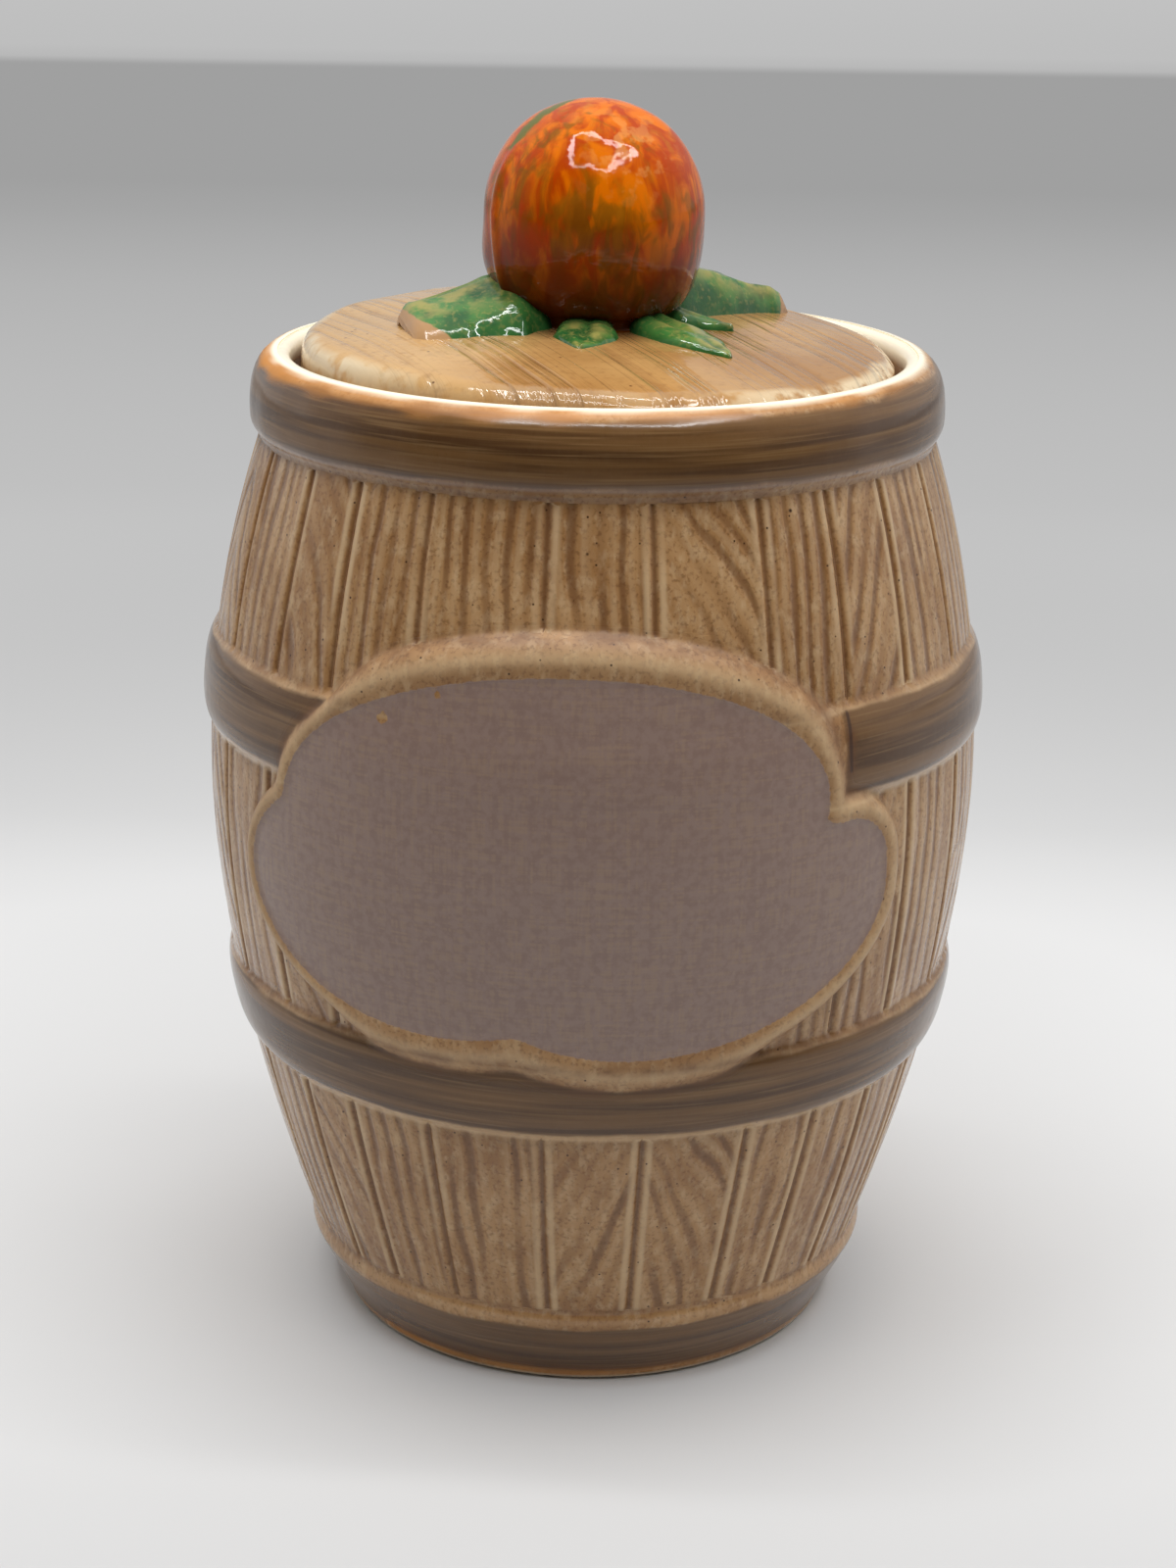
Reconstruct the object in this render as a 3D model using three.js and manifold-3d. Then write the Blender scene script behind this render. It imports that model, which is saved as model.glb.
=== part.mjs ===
// A glazed earthenware marmalade jar, shaped like a coopered barrel, with a lid that lifts off.
// Millimetres, +Z up. The origin is the centre of the foot, and the label faces -Y.
import * as THREE from 'three';
import { mergeVertices } from 'three/addons/utils/BufferGeometryUtils.js';
import Module from 'manifold-3d';

const wasm = await Module();
wasm.setup();

// Clearances between neighbouring pieces.
const JOINT_GAP = 0.3;
const FLANGE_CLEARANCE = 0.9;
const LID_CLEARANCE = 1.2;

// Barrel staves: the outer surface between the foot and the rim.
const BELLY_RADIUS = 51.5;
const BELLY_HEIGHT = 77;
const WAIST_RADIUS = 38.8;
const WAIST_HEIGHT = 12.9;
const NECK_RADIUS = 44;
const NECK_HEIGHT = 123;
const LOWER_BOW = 1.75;
const UPPER_BOW = 2.05;
// Azimuths of the grooves in view, in degrees from the label's middle; the staves behind them are even.
const FRONT_GROOVES = [-46, -34.3, -19.8, -1.2, 14.5, 31.5, 44.5, 57, 72];
const BACK_STAVES = 16;
const GROOVE_DEPTH = 0.55;
const GROOVE_WIDTH = 1.6;
const STAVE_RINGS = 9;

// Barrel wall, floor and foot.
const WALL = 4.2;
const FLOOR = 5;
const BASE_RADIUS = 33.6;
const FOOT_RING_WIDTH = 5;
const FOOT_RECESS = 1.6;
const CAVITY_RINGS = 5;
const FLOOR_FILLET = 6;

// Rim: the collar inside the rim hoop, and the ledge that the lid sits on.
const RIM_RISE = 9.8;
const RIM_INNER_RADIUS = 39.9;
const RIM_COLLAR = 2.5;
const RIM_ROUND = 1.3;
const LEDGE_DEPTH = 4.8;
const LEDGE_WIDTH = 4.4;
const LEDGE_THICKNESS = 6;
const LEDGE_SLOPE = 13;

// Hoops moulded round the barrel.
const RIM_HOOP_RADIUS = 45.4;
const RIM_HOOP_CROWN = 7.2;
const UPPER_HOOP_BOTTOM = 84.7;
const UPPER_HOOP_WIDTH = 12;
const UPPER_HOOP_RISE = 1.2;
const LOWER_HOOP_BOTTOM = 41.4;
const LOWER_HOOP_WIDTH = 11;
const LOWER_HOOP_RISE = 1.2;
const HOOP_EDGE = 0.75;
const FOOT_HOOP_LIFT = 0.5;
const FOOT_HOOP_BAND = 1.9;
const FOOT_RIDGE_RADIUS = 38.4;
const FOOT_RIDGE_HEIGHT = 8.6;
const HOOP_SEGMENTS = 48;
const HOOP_STEPS = 4;

// Label: a raised plaque of round lobes with a border round a thin bare panel.
// Lobe places are arc lengths along the belly, measured from the front, and heights.
const LABEL_ARC_RADIUS = 53;
const TOP_LOBE = { arc: -0.5, height: 84.2, halfWidth: 36.7, halfHeight: 18.2, tilt: 3.4 };
const RIGHT_LOBE = { arc: 18, height: 69.1, halfWidth: 28.4, halfHeight: 14.7, tilt: 11 };
const LEFT_LOBE = { arc: -16.2, height: 71.4, halfWidth: 27.8, halfHeight: 16.1, tilt: -3.1 };
const SHOULDER_LOBE = { arc: 39.7, height: 76.5, halfWidth: 6.2, halfHeight: 6.2, tilt: 0 };
const PLAQUE_BORDER = 4.2;
const PLAQUE_RISE = 1.9;
const PLAQUE_SHOULDER = 0.9;
const PANEL_THICKNESS = 0.4;
const PANEL_SINK = 0.2;
const LOBE_SEGMENTS = 12;
const SHELL_SEGMENTS = 60;
const SHELL_RINGS = 6;

// Lid: a domed disc with a rounded edge and a ring below that keeps it centred in the throat.
const LID_EDGE = 5.4;
const LID_RISE = 3;
const LID_ROUND = 3;
const LID_CORE = 4.4;
const FLANGE_DEPTH = 6;
const FLANGE_WIDTH = 3.2;
const VENT_RADIUS = 2.5;
const LID_SEGMENTS = 36;
const LID_RINGS = 5;

// Knob: a hollow orange on a short neck, open to the vent in the lid.
const ORANGE_RADIUS = 14.4;
const ORANGE_STAND = 13.7;
const ORANGE_WALL = 3.4;
const NECK_STEM_RADIUS = 10;
const ORANGE_FULLNESS = 1.5;
const ORANGE_SEGMENTS = 28;
const ORANGE_RINGS = 9;

// Leaves that lie on the lid round the orange. Azimuth runs from +X towards +Y.
const LEFT_LEAF = { azimuth: 209, reach: 28.5, width: 13, thickness: 4.4, lift: 9 };
const FRONT_LEAF = { azimuth: 269, reach: 19.6, width: 7.4, thickness: 2.4, lift: 5 };
const FRONT_RIGHT_LEAF = { azimuth: 319, reach: 24, width: 8, thickness: 2.8, lift: 4 };
const SIDE_LEAF = { azimuth: 4, reach: 17.6, width: 4.8, thickness: 2.4, lift: 4 };
const RIGHT_LEAF = { azimuth: 48, reach: 34, width: 7, thickness: 4.4, lift: 6 };
const LEAF_ROUND = 0.4;
const LEAF_SEGMENTS = 7;
const LEAF_SINK = 1.2;

const TAN_GLAZE = { color: 0xb48a5c, roughness: 0.22, metalness: 0 };
const BROWN_GLAZE = { color: 0x5e4028, roughness: 0.2, metalness: 0 };
const LABEL_GREY = { color: 0x8d7f7c, roughness: 0.24, metalness: 0 };
const ORANGE_GLAZE = { color: 0xd9601a, roughness: 0.15, metalness: 0 };
const LEAF_GLAZE = { color: 0x3f6a2c, roughness: 0.15, metalness: 0 };

const degrees = THREE.MathUtils.degToRad;
const point = (radius, height) => new THREE.Vector2(radius, height);

/** Even steps from 0 to 1, both ends included. */
function steps(count) {
  return Array.from({ length: count + 1 }, (_, index) => index / count);
}

/** Outer radius of the staves at a height. */
function staveRadius(height) {
  if (height < BELLY_HEIGHT) {
    const fall = (BELLY_HEIGHT - height) / (BELLY_HEIGHT - WAIST_HEIGHT);
    return BELLY_RADIUS - (BELLY_RADIUS - WAIST_RADIUS) * fall ** LOWER_BOW;
  }
  const climb = (height - BELLY_HEIGHT) / (NECK_HEIGHT - BELLY_HEIGHT);
  return BELLY_RADIUS - (BELLY_RADIUS - NECK_RADIUS) * climb ** UPPER_BOW;
}

/** Points along the staves between two heights, moved out by an offset. */
function stavePoints(bottom, top, count, offset) {
  return steps(count).map((share) => {
    const height = THREE.MathUtils.lerp(bottom, top, share);
    return point(staveRadius(height) + offset, height);
  });
}

/** Points on a quadratic curve. */
function curvePoints(start, control, end, count) {
  return new THREE.QuadraticBezierCurve(start, control, end).getPoints(count);
}

/** Turns a profile about +Z, with its first segment facing the front. */
function turned(profile, segments) {
  return new THREE.LatheGeometry(profile, segments).rotateX(Math.PI / 2);
}

/** A ring whose profile closes on itself. */
function turnedRing(profile, segments) {
  return turned([...profile, profile[0].clone()], segments);
}

/** Merges shared vertices and returns a solid that can be joined and cut. */
function solidOf(geometry) {
  geometry.deleteAttribute('normal');
  geometry.deleteAttribute('uv');
  const merged = mergeVertices(geometry);
  const corners = Array.from(merged.index.array);
  const triangles = [];
  for (let first = 0; first < corners.length; first += 3) {
    const [a, b, c] = corners.slice(first, first + 3);
    if (a !== b && b !== c && c !== a) triangles.push(a, b, c);
  }
  const vertProperties = new Float32Array(merged.attributes.position.array);
  const triVerts = new Uint32Array(triangles);
  return new wasm.Manifold(new wasm.Mesh({ numProp: 3, vertProperties, triVerts }));
}

/** A named mesh made from a solid. */
function meshOf(name, solid, finish) {
  const { vertProperties, triVerts } = solid.getMesh();
  const geometry = new THREE.BufferGeometry();
  geometry.setAttribute('position', new THREE.BufferAttribute(vertProperties, 3));
  geometry.setIndex(new THREE.BufferAttribute(triVerts, 1));
  geometry.computeVertexNormals();
  const mesh = new THREE.Mesh(geometry, new THREE.MeshStandardMaterial(finish));
  mesh.name = name;
  return mesh;
}

const rimHeight = NECK_HEIGHT + RIM_RISE;
const ledgeHeight = rimHeight - LEDGE_DEPTH;
const throatRadius = RIM_INNER_RADIUS - LEDGE_WIDTH;
const collarRadius = RIM_INNER_RADIUS + RIM_COLLAR;
const footInset = FOOT_HOOP_BAND + JOINT_GAP;
const lidRadius = RIM_INNER_RADIUS - LID_CLEARANCE;
const lidUnderside = ledgeHeight + JOINT_GAP;
const lidEdgeTop = lidUnderside + LID_EDGE;
const orangeHeight = lidEdgeTop + LID_RISE + ORANGE_STAND;

/** Radius of the foot's slope at a height, moved in by an inset. */
function footRadius(height, inset) {
  const share = height / FOOT_RIDGE_HEIGHT;
  return THREE.MathUtils.lerp(BASE_RADIUS, FOOT_RIDGE_RADIUS, share) - inset;
}

/** The hollow barrel: foot ring, staves, rim collar, lid ledge, cavity and floor. */
function barrelProfile() {
  const footTop = WAIST_HEIGHT - JOINT_GAP;
  const ledgeBottom = ledgeHeight - LEDGE_THICKNESS;
  const cavityTop = ledgeBottom - LEDGE_SLOPE;
  const cavityBottom = FLOOR + FLOOR_FILLET;
  const cavity = stavePoints(cavityBottom + WALL, cavityTop, CAVITY_RINGS, -WALL);
  const floorRadius = cavity[0].x - FLOOR_FILLET;
  return [
    point(0, FOOT_RECESS),
    point(footRadius(0, footInset) - FOOT_RING_WIDTH, FOOT_RECESS),
    point(footRadius(0, footInset) - FOOT_RING_WIDTH + FOOT_RECESS, 0),
    point(footRadius(0, footInset), 0),
    point(footRadius(FOOT_RIDGE_HEIGHT, footInset), FOOT_RIDGE_HEIGHT),
    point(footRadius(FOOT_RIDGE_HEIGHT, footInset), footTop),
    ...stavePoints(WAIST_HEIGHT, NECK_HEIGHT, STAVE_RINGS, 0),
    point(collarRadius, NECK_HEIGHT + JOINT_GAP),
    point(collarRadius, rimHeight - RIM_ROUND),
    point(collarRadius - RIM_ROUND, rimHeight),
    point(RIM_INNER_RADIUS, rimHeight - RIM_ROUND),
    point(RIM_INNER_RADIUS, ledgeHeight),
    point(throatRadius, ledgeHeight),
    point(throatRadius, ledgeBottom),
    ...cavity.reverse(),
    ...curvePoints(point(cavity.at(-1).x, cavityBottom), point(cavity.at(-1).x, FLOOR),
      point(floorRadius, FLOOR), HOOP_STEPS).slice(1),
    point(0, FLOOR),
  ];
}

/** Azimuths of all the grooves in radians, once round, with the first one repeated at the end. */
function grooveAzimuths() {
  const [first] = FRONT_GROOVES;
  const last = FRONT_GROOVES.at(-1);
  const behind = steps(BACK_STAVES).slice(1).map((share) => THREE.MathUtils.lerp(last, first + 360, share));
  return [...FRONT_GROOVES, ...behind].map(degrees);
}

/** Moves the barrel's columns, three to a stave, so that one of the three lies in the groove. */
function cutGrooves(geometry, azimuths) {
  const position = geometry.attributes.position;
  const columns = (azimuths.length - 1) * 3;
  const rows = position.count / (columns + 1);
  const halfGroove = GROOVE_WIDTH / 2 / BELLY_RADIUS;
  const isStave = (height, radius) => height >= WAIST_HEIGHT && height <= NECK_HEIGHT
    && radius > staveRadius(height) - WALL / 2;
  for (let index = 0; index < position.count; index += 1) {
    const column = Math.floor(index / rows) % columns;
    const stave = Math.floor(column / 3);
    const [left, right] = [azimuths[stave], azimuths[stave + 1]];
    const angle = [left, left + halfGroove, right - halfGroove][column % 3];
    const radius = Math.hypot(position.getX(index), position.getY(index));
    const height = position.getZ(index);
    const depth = column % 3 === 0 && isStave(height, radius) ? GROOVE_DEPTH : 0;
    position.setXYZ(index, (radius - depth) * Math.sin(angle), (depth - radius) * Math.cos(angle), height);
  }
  return geometry;
}

/** A hoop whose face bulges from its edges to its middle. */
function bulgedHoop(bottom, width, rise) {
  const inner = stavePoints(bottom, bottom + width, HOOP_STEPS, JOINT_GAP);
  const outer = inner.map(({ x, y }, index) => {
    const bulge = Math.sin((Math.PI * index) / HOOP_STEPS);
    return point(x - JOINT_GAP + THREE.MathUtils.lerp(HOOP_EDGE, rise, bulge), y);
  });
  return solidOf(turnedRing([...outer, ...inner.reverse()], HOOP_SEGMENTS));
}

/** The hoop round the rim, rounded over at the top. */
function rimHoop() {
  const bottom = NECK_HEIGHT + 2 * JOINT_GAP;
  const inner = collarRadius + JOINT_GAP;
  const crown = bottom + RIM_HOOP_CROWN;
  const lip = new THREE.Vector2(RIM_HOOP_RADIUS, bottom + HOOP_EDGE);
  const top = point(inner + JOINT_GAP, rimHeight - JOINT_GAP);
  return solidOf(turnedRing([
    point(inner, bottom),
    point(RIM_HOOP_RADIUS - HOOP_EDGE, bottom),
    ...curvePoints(lip, point(RIM_HOOP_RADIUS, crown), top, HOOP_STEPS),
    point(inner, rimHeight - RIM_ROUND),
  ], HOOP_SEGMENTS));
}

/** The hoop round the foot: a sloped band under a rounded ridge. */
function footHoop() {
  const top = WAIST_HEIGHT - 2 * JOINT_GAP;
  const inset = FOOT_HOOP_BAND;
  return solidOf(turnedRing([
    point(footRadius(FOOT_HOOP_LIFT, inset), FOOT_HOOP_LIFT),
    point(footRadius(FOOT_HOOP_LIFT, 0), FOOT_HOOP_LIFT),
    point(footRadius(FOOT_RIDGE_HEIGHT, 0), FOOT_RIDGE_HEIGHT),
    ...curvePoints(point(FOOT_RIDGE_RADIUS, FOOT_RIDGE_HEIGHT + HOOP_EDGE),
      point(FOOT_RIDGE_RADIUS + HOOP_EDGE, (FOOT_RIDGE_HEIGHT + top) / 2),
      point(FOOT_RIDGE_RADIUS, top), HOOP_STEPS),
    point(footRadius(FOOT_RIDGE_HEIGHT, inset), top),
    point(footRadius(FOOT_RIDGE_HEIGHT, inset), FOOT_RIDGE_HEIGHT),
  ], HOOP_SEGMENTS));
}

/** One round lobe as a radial prism that reaches through the barrel's wall. */
function lobePrism(lobe, growth) {
  const outline = new THREE.Shape();
  const [width, height] = [lobe.halfWidth + growth, lobe.halfHeight + growth];
  outline.absellipse(lobe.arc, lobe.height, width, height, 0, 2 * Math.PI, false, degrees(lobe.tilt));
  const levels = [WAIST_RADIUS / 2, BELLY_RADIUS - WALL, BELLY_RADIUS + WALL, BELLY_RADIUS * 8];
  const geometry = new THREE.ExtrudeGeometry(outline, {
    depth: levels.length - 1,
    steps: levels.length - 1,
    bevelEnabled: false,
    curveSegments: LOBE_SEGMENTS,
  });
  const position = geometry.attributes.position;
  for (let index = 0; index < position.count; index += 1) {
    const angle = position.getX(index) / LABEL_ARC_RADIUS;
    const radius = levels[Math.round(position.getZ(index))];
    const up = position.getY(index);
    position.setXYZ(index, radius * Math.sin(angle), -radius * Math.cos(angle), up);
  }
  return solidOf(geometry);
}

/** The label's outline, grown by a distance, as one radial prism. */
function labelPrism(growth) {
  const lobes = [TOP_LOBE, RIGHT_LOBE, LEFT_LOBE, SHOULDER_LOBE];
  const [first, ...others] = lobes.map((lobe) => lobePrism(lobe, growth));
  return others.reduce((joined, lobe) => joined.add(lobe), first);
}

/** A shell that follows the staves over the label's height, between two offsets. */
function labelShell(innerOffset, outerOffset) {
  const reach = PLAQUE_BORDER + PLAQUE_RISE;
  const bottom = RIGHT_LOBE.height - RIGHT_LOBE.halfHeight - reach;
  const top = TOP_LOBE.height + TOP_LOBE.halfHeight + reach;
  const inner = stavePoints(bottom, top, SHELL_RINGS, innerOffset);
  const outer = stavePoints(bottom, top, SHELL_RINGS, outerOffset);
  return solidOf(turnedRing([...outer, ...inner.reverse()], SHELL_SEGMENTS));
}

const panelFloor = PLAQUE_RISE - PANEL_SINK - PANEL_THICKNESS - JOINT_GAP;

/** The plaque: a border with a stepped shoulder round a shallow recess. */
function labelPlaque() {
  const shoulder = PLAQUE_RISE - PLAQUE_SHOULDER;
  const base = labelShell(JOINT_GAP, shoulder).intersect(labelPrism(PLAQUE_BORDER));
  const crest = labelShell(JOINT_GAP, PLAQUE_RISE).intersect(labelPrism(PLAQUE_BORDER - PLAQUE_SHOULDER));
  const recess = labelShell(panelFloor, PLAQUE_RISE * 2).intersect(labelPrism(JOINT_GAP));
  return base.add(crest).subtract(recess);
}

/** The bare label panel, flush in the plaque's recess. */
function labelPanel() {
  const inner = panelFloor + JOINT_GAP;
  return labelShell(inner, inner + PANEL_THICKNESS).intersect(labelPrism(0));
}

/** Height of the lid's dome at a radius. */
function domeHeight(radius) {
  return lidEdgeTop + LID_RISE * (1 - (radius / lidRadius) ** 2);
}

/** Points along the dome between two radii, moved up by an offset. */
function domePoints(from, to, count, offset) {
  return steps(count).map((share) => {
    const radius = THREE.MathUtils.lerp(from, to, share);
    return point(radius, domeHeight(radius) + offset);
  });
}

/** The lid plate with its seat, its centring ring and the vent under the orange. */
function lidPlate() {
  const ringOuter = throatRadius - FLANGE_CLEARANCE;
  const ringInner = ringOuter - FLANGE_WIDTH;
  const ringBottom = lidUnderside - FLANGE_DEPTH;
  const edge = lidRadius - LID_ROUND;
  return solidOf(turnedRing([
    ...domePoints(VENT_RADIUS, ringInner, LID_RINGS, -LID_CORE),
    point(ringInner, ringBottom),
    point(ringOuter, ringBottom),
    point(ringOuter, lidUnderside),
    point(lidRadius, lidUnderside),
    ...curvePoints(point(lidRadius, lidEdgeTop - LID_ROUND), point(lidRadius, lidEdgeTop),
      point(edge, domeHeight(edge)), HOOP_STEPS),
    ...domePoints(VENT_RADIUS, edge, LID_RINGS, 0).slice(0, -1).reverse(),
  ], LID_SEGMENTS));
}

/** Points of the orange's round, fuller below its middle, between two angles from the top. */
function ballPoints(radius, from, to, count) {
  return steps(count).map((share) => {
    const angle = THREE.MathUtils.lerp(from, to, share);
    const power = angle > Math.PI / 2 ? 1 / ORANGE_FULLNESS : 1;
    const across = Math.abs(Math.sin(angle)) ** power;
    const up = Math.sign(Math.cos(angle)) * Math.abs(Math.cos(angle)) ** power;
    return point(radius * across, orangeHeight + radius * up);
  });
}

/** Angle from the top at which the orange's lower half has narrowed to a share of its radius. */
function lowerAngle(share) {
  return Math.PI - Math.asin(share ** ORANGE_FULLNESS);
}

/** The hollow orange, whose neck stands on the lid's dome. */
function orangeKnob() {
  const hollow = ORANGE_RADIUS - ORANGE_WALL;
  const stemAngle = lowerAngle(NECK_STEM_RADIUS / ORANGE_RADIUS);
  const ventAngle = lowerAngle(VENT_RADIUS / hollow);
  const seat = domeHeight(VENT_RADIUS) + JOINT_GAP;
  return solidOf(turned([
    ...ballPoints(hollow, 0, ventAngle, ORANGE_RINGS),
    point(VENT_RADIUS, seat),
    point(NECK_STEM_RADIUS, domeHeight(NECK_STEM_RADIUS) + JOINT_GAP),
    ...ballPoints(ORANGE_RADIUS, 0, stemAngle, ORANGE_RINGS).reverse(),
  ], ORANGE_SEGMENTS));
}

/** What a leaf is fitted to: the lid's dome, the orange and its neck, each with the joint gap. */
function leafSeat() {
  const beyond = lidRadius + LID_CLEARANCE;
  const dome = solidOf(turned([
    point(0, ledgeHeight),
    point(beyond, ledgeHeight),
    ...domePoints(0, beyond, LID_RINGS * 2, JOINT_GAP).reverse(),
  ], LID_SEGMENTS));
  const ball = solidOf(turned(ballPoints(ORANGE_RADIUS + JOINT_GAP, 0, Math.PI, ORANGE_RINGS * 2).reverse(),
    ORANGE_SEGMENTS));
  const stem = NECK_STEM_RADIUS + JOINT_GAP;
  const neck = solidOf(turned([
    point(0, ledgeHeight),
    point(stem, ledgeHeight),
    point(stem, orangeHeight),
    point(0, orangeHeight),
  ], ORANGE_SEGMENTS));
  return dome.add(ball).add(neck);
}

/** A leaf: a pointed oval pad with rounded edges, leant against the orange and grown by a distance. */
function leafPad({ azimuth, reach, width, thickness, lift }, growth) {
  const start = NECK_STEM_RADIUS + JOINT_GAP;
  const length = reach - start + growth;
  const half = width / 2 + growth;
  const round = thickness * LEAF_ROUND;
  const outline = new THREE.Shape();
  outline.moveTo(0, 0);
  outline.bezierCurveTo(0, -half, length / 2, -2 * half, length, 0);
  outline.bezierCurveTo(length / 2, 2 * half, 0, half, 0, 0);
  const pad = new THREE.ExtrudeGeometry(outline, {
    depth: thickness - round + LEAF_SINK + growth,
    curveSegments: LEAF_SEGMENTS,
    bevelThickness: round,
    bevelSize: round,
    bevelOffset: -round,
    bevelSegments: 2,
  });
  pad.translate(start - reach, 0, -LEAF_SINK);
  pad.rotateY(degrees(lift));
  pad.translate(reach, 0, domeHeight(reach));
  pad.rotateZ(degrees(azimuth));
  return solidOf(pad);
}

const jar = new THREE.Group();
const grooves = grooveAzimuths();
const barrelBlank = turned(barrelProfile(), (grooves.length - 1) * 3);
const barrel = solidOf(cutGrooves(barrelBlank, grooves));
const plaqueClearance = labelPrism(PLAQUE_BORDER + JOINT_GAP);
const upperHoop = bulgedHoop(UPPER_HOOP_BOTTOM, UPPER_HOOP_WIDTH, UPPER_HOOP_RISE);
const lowerHoop = bulgedHoop(LOWER_HOOP_BOTTOM, LOWER_HOOP_WIDTH, LOWER_HOOP_RISE);
jar.add(
  meshOf('barrel_body', barrel, TAN_GLAZE),
  meshOf('rim_hoop', rimHoop(), BROWN_GLAZE),
  meshOf('upper_hoop', upperHoop.subtract(plaqueClearance), BROWN_GLAZE),
  meshOf('lower_hoop', lowerHoop.subtract(plaqueClearance), BROWN_GLAZE),
  meshOf('foot_hoop', footHoop(), BROWN_GLAZE),
  meshOf('label_plaque', labelPlaque(), TAN_GLAZE),
  meshOf('label_panel', labelPanel(), LABEL_GREY),
);

const lid = new THREE.Group();
lid.add(
  meshOf('lid_plate', lidPlate(), TAN_GLAZE),
  meshOf('orange_knob', orangeKnob(), ORANGE_GLAZE),
);
const leaves = {
  left_leaf: LEFT_LEAF,
  front_leaf: FRONT_LEAF,
  front_right_leaf: FRONT_RIGHT_LEAF,
  side_leaf: SIDE_LEAF,
  right_leaf: RIGHT_LEAF,
};
let taken = leafSeat();
for (const [name, leaf] of Object.entries(leaves)) {
  lid.add(meshOf(name, leafPad(leaf, 0).subtract(taken), LEAF_GLAZE));
  taken = taken.add(leafPad(leaf, JOINT_GAP));
}

const marmaladeJar = new THREE.Group();
marmaladeJar.add(jar, lid);

export default marmaladeJar;
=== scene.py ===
"""Looks of a glazed earthenware marmalade jar, shaped like a coopered barrel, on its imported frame."""

import logging
import math
from collections.abc import Callable, Mapping, Sequence
from dataclasses import dataclass, field
from enum import Enum

import bmesh
import bpy
import numpy as np
from mathutils import Matrix, Vector


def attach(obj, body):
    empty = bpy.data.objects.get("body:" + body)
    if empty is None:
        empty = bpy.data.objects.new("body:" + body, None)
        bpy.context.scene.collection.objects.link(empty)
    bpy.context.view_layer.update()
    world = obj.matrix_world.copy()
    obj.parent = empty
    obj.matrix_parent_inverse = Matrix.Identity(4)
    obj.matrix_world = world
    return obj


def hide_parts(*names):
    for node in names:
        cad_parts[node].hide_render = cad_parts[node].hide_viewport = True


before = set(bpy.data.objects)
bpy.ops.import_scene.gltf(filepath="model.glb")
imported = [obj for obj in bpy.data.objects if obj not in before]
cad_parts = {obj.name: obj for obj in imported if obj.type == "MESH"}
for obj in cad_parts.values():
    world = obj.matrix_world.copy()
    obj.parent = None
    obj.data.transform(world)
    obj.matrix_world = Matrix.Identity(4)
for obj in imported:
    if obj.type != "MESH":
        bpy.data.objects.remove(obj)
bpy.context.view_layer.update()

MM = 0.001
# Slope at which a raised form falls below the staves outside its edge
OUTER_FALL = 2.0
LOG = logging.getLogger("marmalade_jar")

Array = np.ndarray
Colour = tuple[float, float, float, float]
Profile = Sequence[tuple[float, float]]


class Channel(str, Enum):
    """A number that each vertex carries for its glaze."""

    GRAIN = "grain"
    WOOD = "wood"
    GROOVE = "groove"
    # Pooled glaze, and painted shade in the gap round the lid, round the orange's base, at the leaves' roots
    # and edges, and at the orange's bottom.
    POOL_AND_SHADE = "pool"
    CREST = "crest"
    PAINT = "paint"
    PRINT = "print"
    AMBER = "amber"
    CREAM = "cream"
    LIP = "lip"
    DULL = "dull"


class Body(str, Enum):
    """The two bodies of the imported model."""

    JAR = "jar"
    LID = "lid"


class Slot(str, Enum):
    """The record's material slots."""

    TAN = "tan_glaze"
    HOOP = "hoop_glaze"
    LABEL = "label_print"
    LID = "lid_glaze"
    ORANGE = "orange_glaze"
    LEAF = "leaf_glaze"


class Grain(Enum):
    """How the grain runs in a stave, seen from outside."""

    STRAIGHT = "straight"
    FALLING = "falling to the right"
    RISING = "rising to the right"
    PEAKED = "nested peaks"


class Seed(Enum):
    """The seeds of the random draws, by what they make uneven."""

    LEVEL = 5
    SWAY = 11
    BEND = 23
    FADE = 31
    RIM = 41
    LID = 53
    ORANGE = 61
    LEAF = 71


BARE: Mapping[Channel, float] = {
    Channel.GRAIN: 0.0,
    Channel.WOOD: 0.0,
    Channel.GROOVE: 9.0,
    Channel.POOL_AND_SHADE: 0.0,
    Channel.CREST: 0.0,
    Channel.PAINT: -9.0,
    Channel.PRINT: -9.0,
    Channel.AMBER: 0.0,
    Channel.CREAM: 0.0,
    Channel.LIP: 0.0,
    Channel.DULL: 0.0,
}


def tone(red: float, green: float, blue: float) -> Colour:
    """A colour for a shader from its 0 to 255 screen values.

    Args:
        red: Red on screen.
        green: Green on screen.
        blue: Blue on screen.

    Returns:
        The linear colour with full alpha.
    """
    shares = [value / 255 for value in (red, green, blue)]
    linear = [s / 12.92 if s <= 0.04045 else ((s + 0.055) / 1.055) ** 2.4 for s in shares]
    return (linear[0], linear[1], linear[2], 1.0)


def smooth_step(low: float, high: float | Array, value: Array) -> Array:
    """A soft step from 0 at low to 1 at high.

    Args:
        low: Where the step starts.
        high: Where the step ends.
        value: The numbers to step.

    Returns:
        Shares from 0 to 1.
    """
    share = np.clip((value - low) / (high - low), 0.0, 1.0)
    return share * share * (3.0 - 2.0 * share)


def bell(value: Array, width: float) -> Array:
    """A bell curve of height 1 and the given half width."""
    return np.exp(-((value / width) ** 2))


def wrapped(angle: Array) -> Array:
    """Angles brought to within half a turn of 0, in radians."""
    return np.mod(angle + np.pi, 2 * np.pi) - np.pi


def outline(radii: Array, heights: Array) -> list[tuple[float, float]]:
    """Radii and heights as the points of a profile."""
    return [(float(radius), float(height)) for radius, height in zip(radii, heights)]


def soft_max(first: Array, second: Array, reach: float) -> Array:
    """The larger of two surfaces, with a fillet where they meet.

    Args:
        first: One surface.
        second: The other surface.
        reach: Size of the fillet.

    Returns:
        The joined surface.
    """
    near = np.maximum(reach - np.abs(first - second), 0.0) / reach
    return np.maximum(first, second) + near * near * reach / 4.0


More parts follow.
